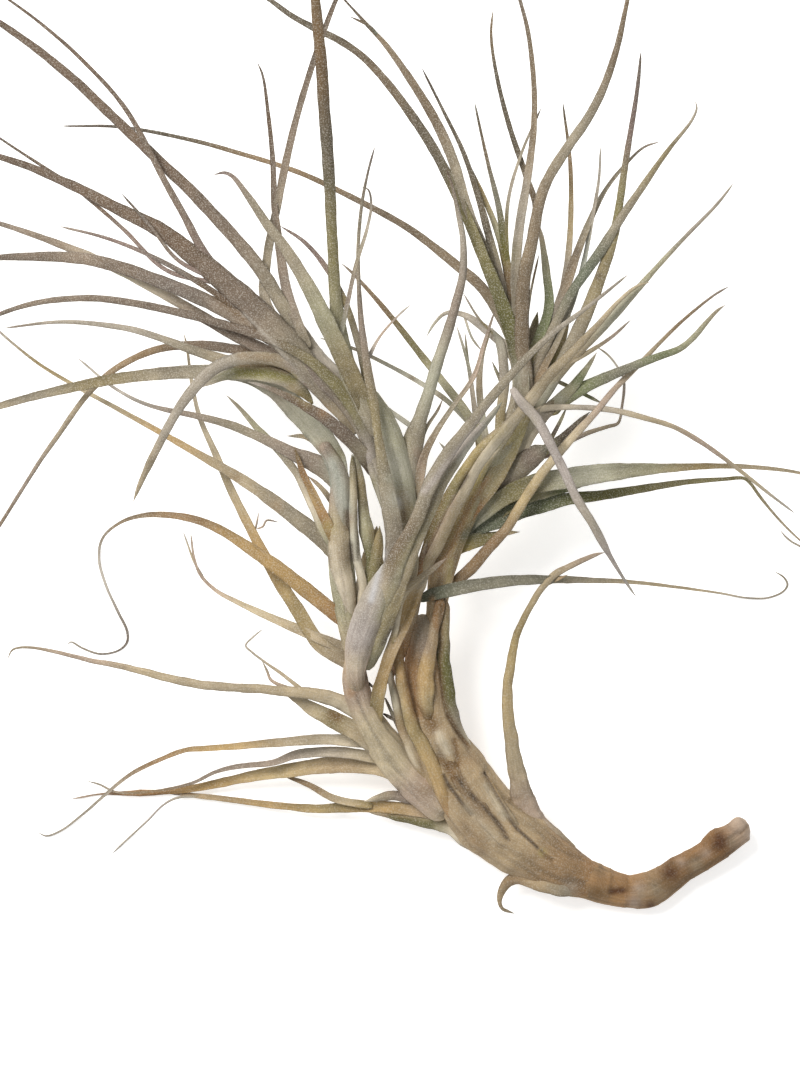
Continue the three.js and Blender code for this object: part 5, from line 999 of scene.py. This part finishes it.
    ("loam ash loam stone stone mauve", "face", [36, 42, 44, 40, 34],
     [[-27, 129, 3, -21, 141, 3.1, -17.5, 151.5, 2.6, -14.6, 160, 2, -11, 169, 1.5, -7.5, 175.7, 1.1,
      -2.5, 182, 0.8, 2, 186.2, 0.6, 6, 187.6, 0.5]]),
    ("bark stone dew ash pearl", "face", [39, 42, 44],
     [[-25.4, 126, 2, -22.6, 132, 1.8, -20, 137, 1.6, -14, 153.5, 1.3, -11, 168, 1, -9.3, 178, 0.7,
      -8.8, 186.3, 0.5]]),
    ("drab stone pine stone olive ash", "back", [37, 44, 44, 38],
     [[-26.8, 123, 2.4, -25.6, 128, 2.4, -24, 133, 2.4, -16, 150.2, 2.4, -9, 160, 2.6, -3.5, 168.7, 2.1,
      2.5, 177.5, 1.7, 8.5, 186, 1.1, 14, 193, 0.7, 15.2, 196, 0.6, 14.8, 197.8, 0.5]]),
    ("silver tan silver sage ash ash", "back", [35, 42, 40, 34],
     [[-25.5, 122, 3, -16, 133.6, 3, -8, 141.7, 2.6, -2, 148, 1.9, 5, 156, 1.3, 13, 164.5, 1, 20, 171.7,
      0.8, 24.4, 177.2, 0.5]]),
    ("buff buff buff rose mauve", "back", [39, 40],
     [[-20.5, 130.5, 1.4, -13, 134.3, 1.2, -6, 138.8, 0.8, -1.3, 143, 0.5]]),
    ("sage stone pearl ash mist", "back", [37, 36, 34, 30],
     [[-29.4, 123, 2.4, -29.8, 129, 2.6, -31, 134, 2.5, -38, 141, 2.2, -43, 144.3, 1.5, -47.5, 144.7, 1,
      -50.5, 142, 0.7, -52.4, 138.8, 0.5]]),
    ("ash mist ash", "face", [34.6, 36],
     [[-43, 144.2, 0.6, -41, 138.5, 0.6, -38.5, 135.2, 0.6]]),
    ("silver olive ash lilac", "face", [37, 37],
     [[-33.5, 137.5, 0.6, -39, 143, 0.6, -43.2, 149.7, 0.5]]),
    ("olive ash ash silver pearl", "face", [31, 35, 36],
     [[-39, 110, 1.8, -40.5, 122, 1.3, -42, 132, 0.9, -44.8, 141.5, 0.5]]),
    ("sage sage sage ash", "face", [34.5, 36],
     [[-40.6, 122, 0.8, -42, 133, 0.6, -42.8, 140, 0.5]]),
    ("sage ash silver taupe stone olive", "face", [31, 36, 37],
     [[-36, 103.5, 2, -36.4, 107, 1.8, -37, 110, 1.8, -39.2, 126, 1.7, -38.5, 134, 1.2, -36.5, 140.5,
      0.8]]),
    ("ash olive fern fern sage taupe", "face", [37, 42, 46],
     [[-27.6, 124, 2.4, -27, 129, 2.6, -26, 134, 2.6, -21.8, 146, 2.4, -22.4, 155, 2, -24, 166.3, 1]]),
    ("drab silver cream loam loam", "face", [38, 39, 40],
     [[-28, 138, 0.8, -26.3, 150, 0.6, -24.3, 159.3, 0.5]]),
    ("sage sage sage moss bark mauve", "face", [30, 34, 32, 30],
     [[-36, 103, 2.4, -37, 109, 2.4, -42, 119, 2.3, -48, 127.2, 2, -53, 133.3, 1.8, -59, 141, 1.5, -65,
      148.3, 1.2, -71, 154.8, 0.7, -73.7, 157.2, 0.5]]),
    ("stone silver mist mist stone mist", "face", [32, 34, 34, 34],
     [[-38.5, 114, 1.6, -47, 122.6, 1.3, -54, 127.3, 1.2, -63, 132.2, 1, -71, 136, 0.8, -79, 138.5, 0.5]]),
    ("silver loam drab bark moor slate", "back", [37, 36, 28, 16, 4],
     [[-29.4, 126, 2.4, -29.8, 132, 2.8, -31, 138, 2.8, -38, 150.5, 2.7, -45, 156.7, 2.4, -56, 165.3,
      1.8, -69, 172.6, 1.5, -85, 180.2, 1.3, -100, 185, 1.2, -115, 188.8, 1, -130, 191.3, 0.8, -143.7,
      191.5, 0.5]]),
]
RIGHT_MARKS = [
    (-46.5, 88, 1.8, "khaki", 0.7),
    (-52.8, 83, 1.6, "tan", 0.7),
    (-29.2, 129, 3, "mist", 0.5),
    (-26, 122.6, 2.4, "cream", 0.45),
    (-32.5, 160, 3.0, "vivid", 0.5),
    (-9.5, 154, 1.2, "soot", 0.7),
    (-14.6, 160, 1.2, "soot", 0.6),
    (-56, 128.5, 1.0, "umber", 0.6),
    (-49, 123.7, 1.4, "umber", 0.6),
]
RIGHT_STRIPES = [
    (0, 2.2, "sage", 0.5, [-38.3, 99.5, -32, 109, -27, 117]),
    (0.4, 0.8, "peat", 0.75, [-53.8, 83.9, -51, 91, -46.6, 101.2]),
    (0, 0.8, "rose", 0.6, [-51.9, 84.5, -49, 91, -45.2, 99]),
    (0, 1, "bark", 0.5, [-50.2, 83, -48.8, 77.5]),
    (0, 0.7, "bark", 0.6, [-45, 84, -45, 78]),
    (0.4, 0.5, "soot", 0.8, [-43.9, 101, -42, 104]),
    (0, 1.6, "pine", 0.7, [-43, 89, -36, 92.5]),
    (0.2, 0.9, "honey", 0.7, [-37.2, 103.2, -41.5, 97, -45.4, 87.8, -49.5, 81]),
    (0, 1.2, "wheat", 0.35, [-44.6, 104, -38.4, 111.8, -33, 115.7]),
    (0.2, 1, "moss", 0.7, [-52.4, 87.8, -47.8, 97, -44.6, 105.6]),
    (0, 0.8, "wheat", 0.6, [-46.2, 82.5, -47.3, 75]),
]
CROWN = [
    ("khaki bark moss olive stone", "clasp", [34, 36.5, 38],
     [[-27.5, 119, 3.4, -25, 126, 5.2, -21.5, 133, 4.8, -18.4, 140, 3, -16.4, 147, 1]]),
    ("sage stone bark ash moss", "clasp", [34, 36.5, 38],
     [[-30, 116, 3, -28.6, 124, 4.6, -27.6, 132, 4.2, -26, 139, 2.6, -24.6, 145, 1]]),
]
green_leaf = skin("green scurfy leaf", 0.34, 0.3, 0.35, 0.85)
right_leaves = mesh(
    "right_leaves",
    [stem([(-50.6, 64, 19.5, 2.4), (-50, 69.5, 21, 2.4), *RIGHT_STEM], "fawn fawn khaki sage stone stone olive", 64, 37)]
    + [leaf(row, 700 + i) for i, row in enumerate([*RIGHT_LEAVES, *CROWN])],
    RIGHT_MARKS,
    RIGHT_STRIPES,
)
dress(right_leaves, green_leaf, "shoot_right")

# The surface: plain pale board, and soft studio light from above and a little to the left.
floor_mesh = bpy.data.meshes.new("floor")
half = 3.0
floor_mesh.from_pydata([(-half, -half, 0), (half, -half, 0), (half, half, 0), (-half, half, 0)], [], [(0, 1, 2, 3)])
floor = bpy.data.objects.new("floor", floor_mesh)
bpy.context.scene.collection.objects.link(floor)
board = bpy.data.materials.new("matte white board")
board.use_nodes = True
board_shader = board.node_tree.nodes["Principled BSDF"]
board_shader.inputs["Base Color"].default_value = (*tint_of("f6f5f3"), 1)
board_shader.inputs["Roughness"].default_value = 0.9
board_shader.inputs["Emission Color"].default_value = (1, 1, 1, 1)
board_shader.inputs["Emission Strength"].default_value = 0.5
floor_mesh.materials.append(board)

world = bpy.data.worlds.new("studio")
bpy.context.scene.world = world
world.use_nodes = True
world.node_tree.nodes["Background"].inputs["Color"].default_value = (0.97, 0.985, 1, 1)
world.node_tree.nodes["Background"].inputs["Strength"].default_value = 0.53
lamp_data = bpy.data.lights.new("softbox", "AREA")
lamp_data.shape = "DISK"
lamp_data.size = 0.6
lamp_data.energy = 16.6
lamp_data.color = (1, 0.975, 0.95)
lamp = bpy.data.objects.new("softbox", lamp_data)
lamp.location = (-0.55, 0.6, 1.1)
aim = np.array([-0.059, 0.09, 0.02]) - np.array(lamp.location)
lamp.rotation_euler = (
    float(np.arctan2(np.hypot(aim[0], aim[1]), -aim[2])),
    0,
    float(np.arctan2(-aim[0], aim[1])),
)
bpy.context.scene.collection.objects.link(lamp)
bpy.context.scene.view_settings.view_transform = "Standard"

camera_data = bpy.data.cameras.new("above")
camera_data.sensor_fit = "VERTICAL"
camera_data.sensor_height = 36
camera_data.lens = 36 * EYE_HEIGHT / 266.75
camera = bpy.data.objects.new("above", camera_data)
camera.location = (EYE[0] / 1000, EYE[1] / 1000, EYE_HEIGHT / 1000)
bpy.context.scene.collection.objects.link(camera)
bpy.context.scene.camera = camera
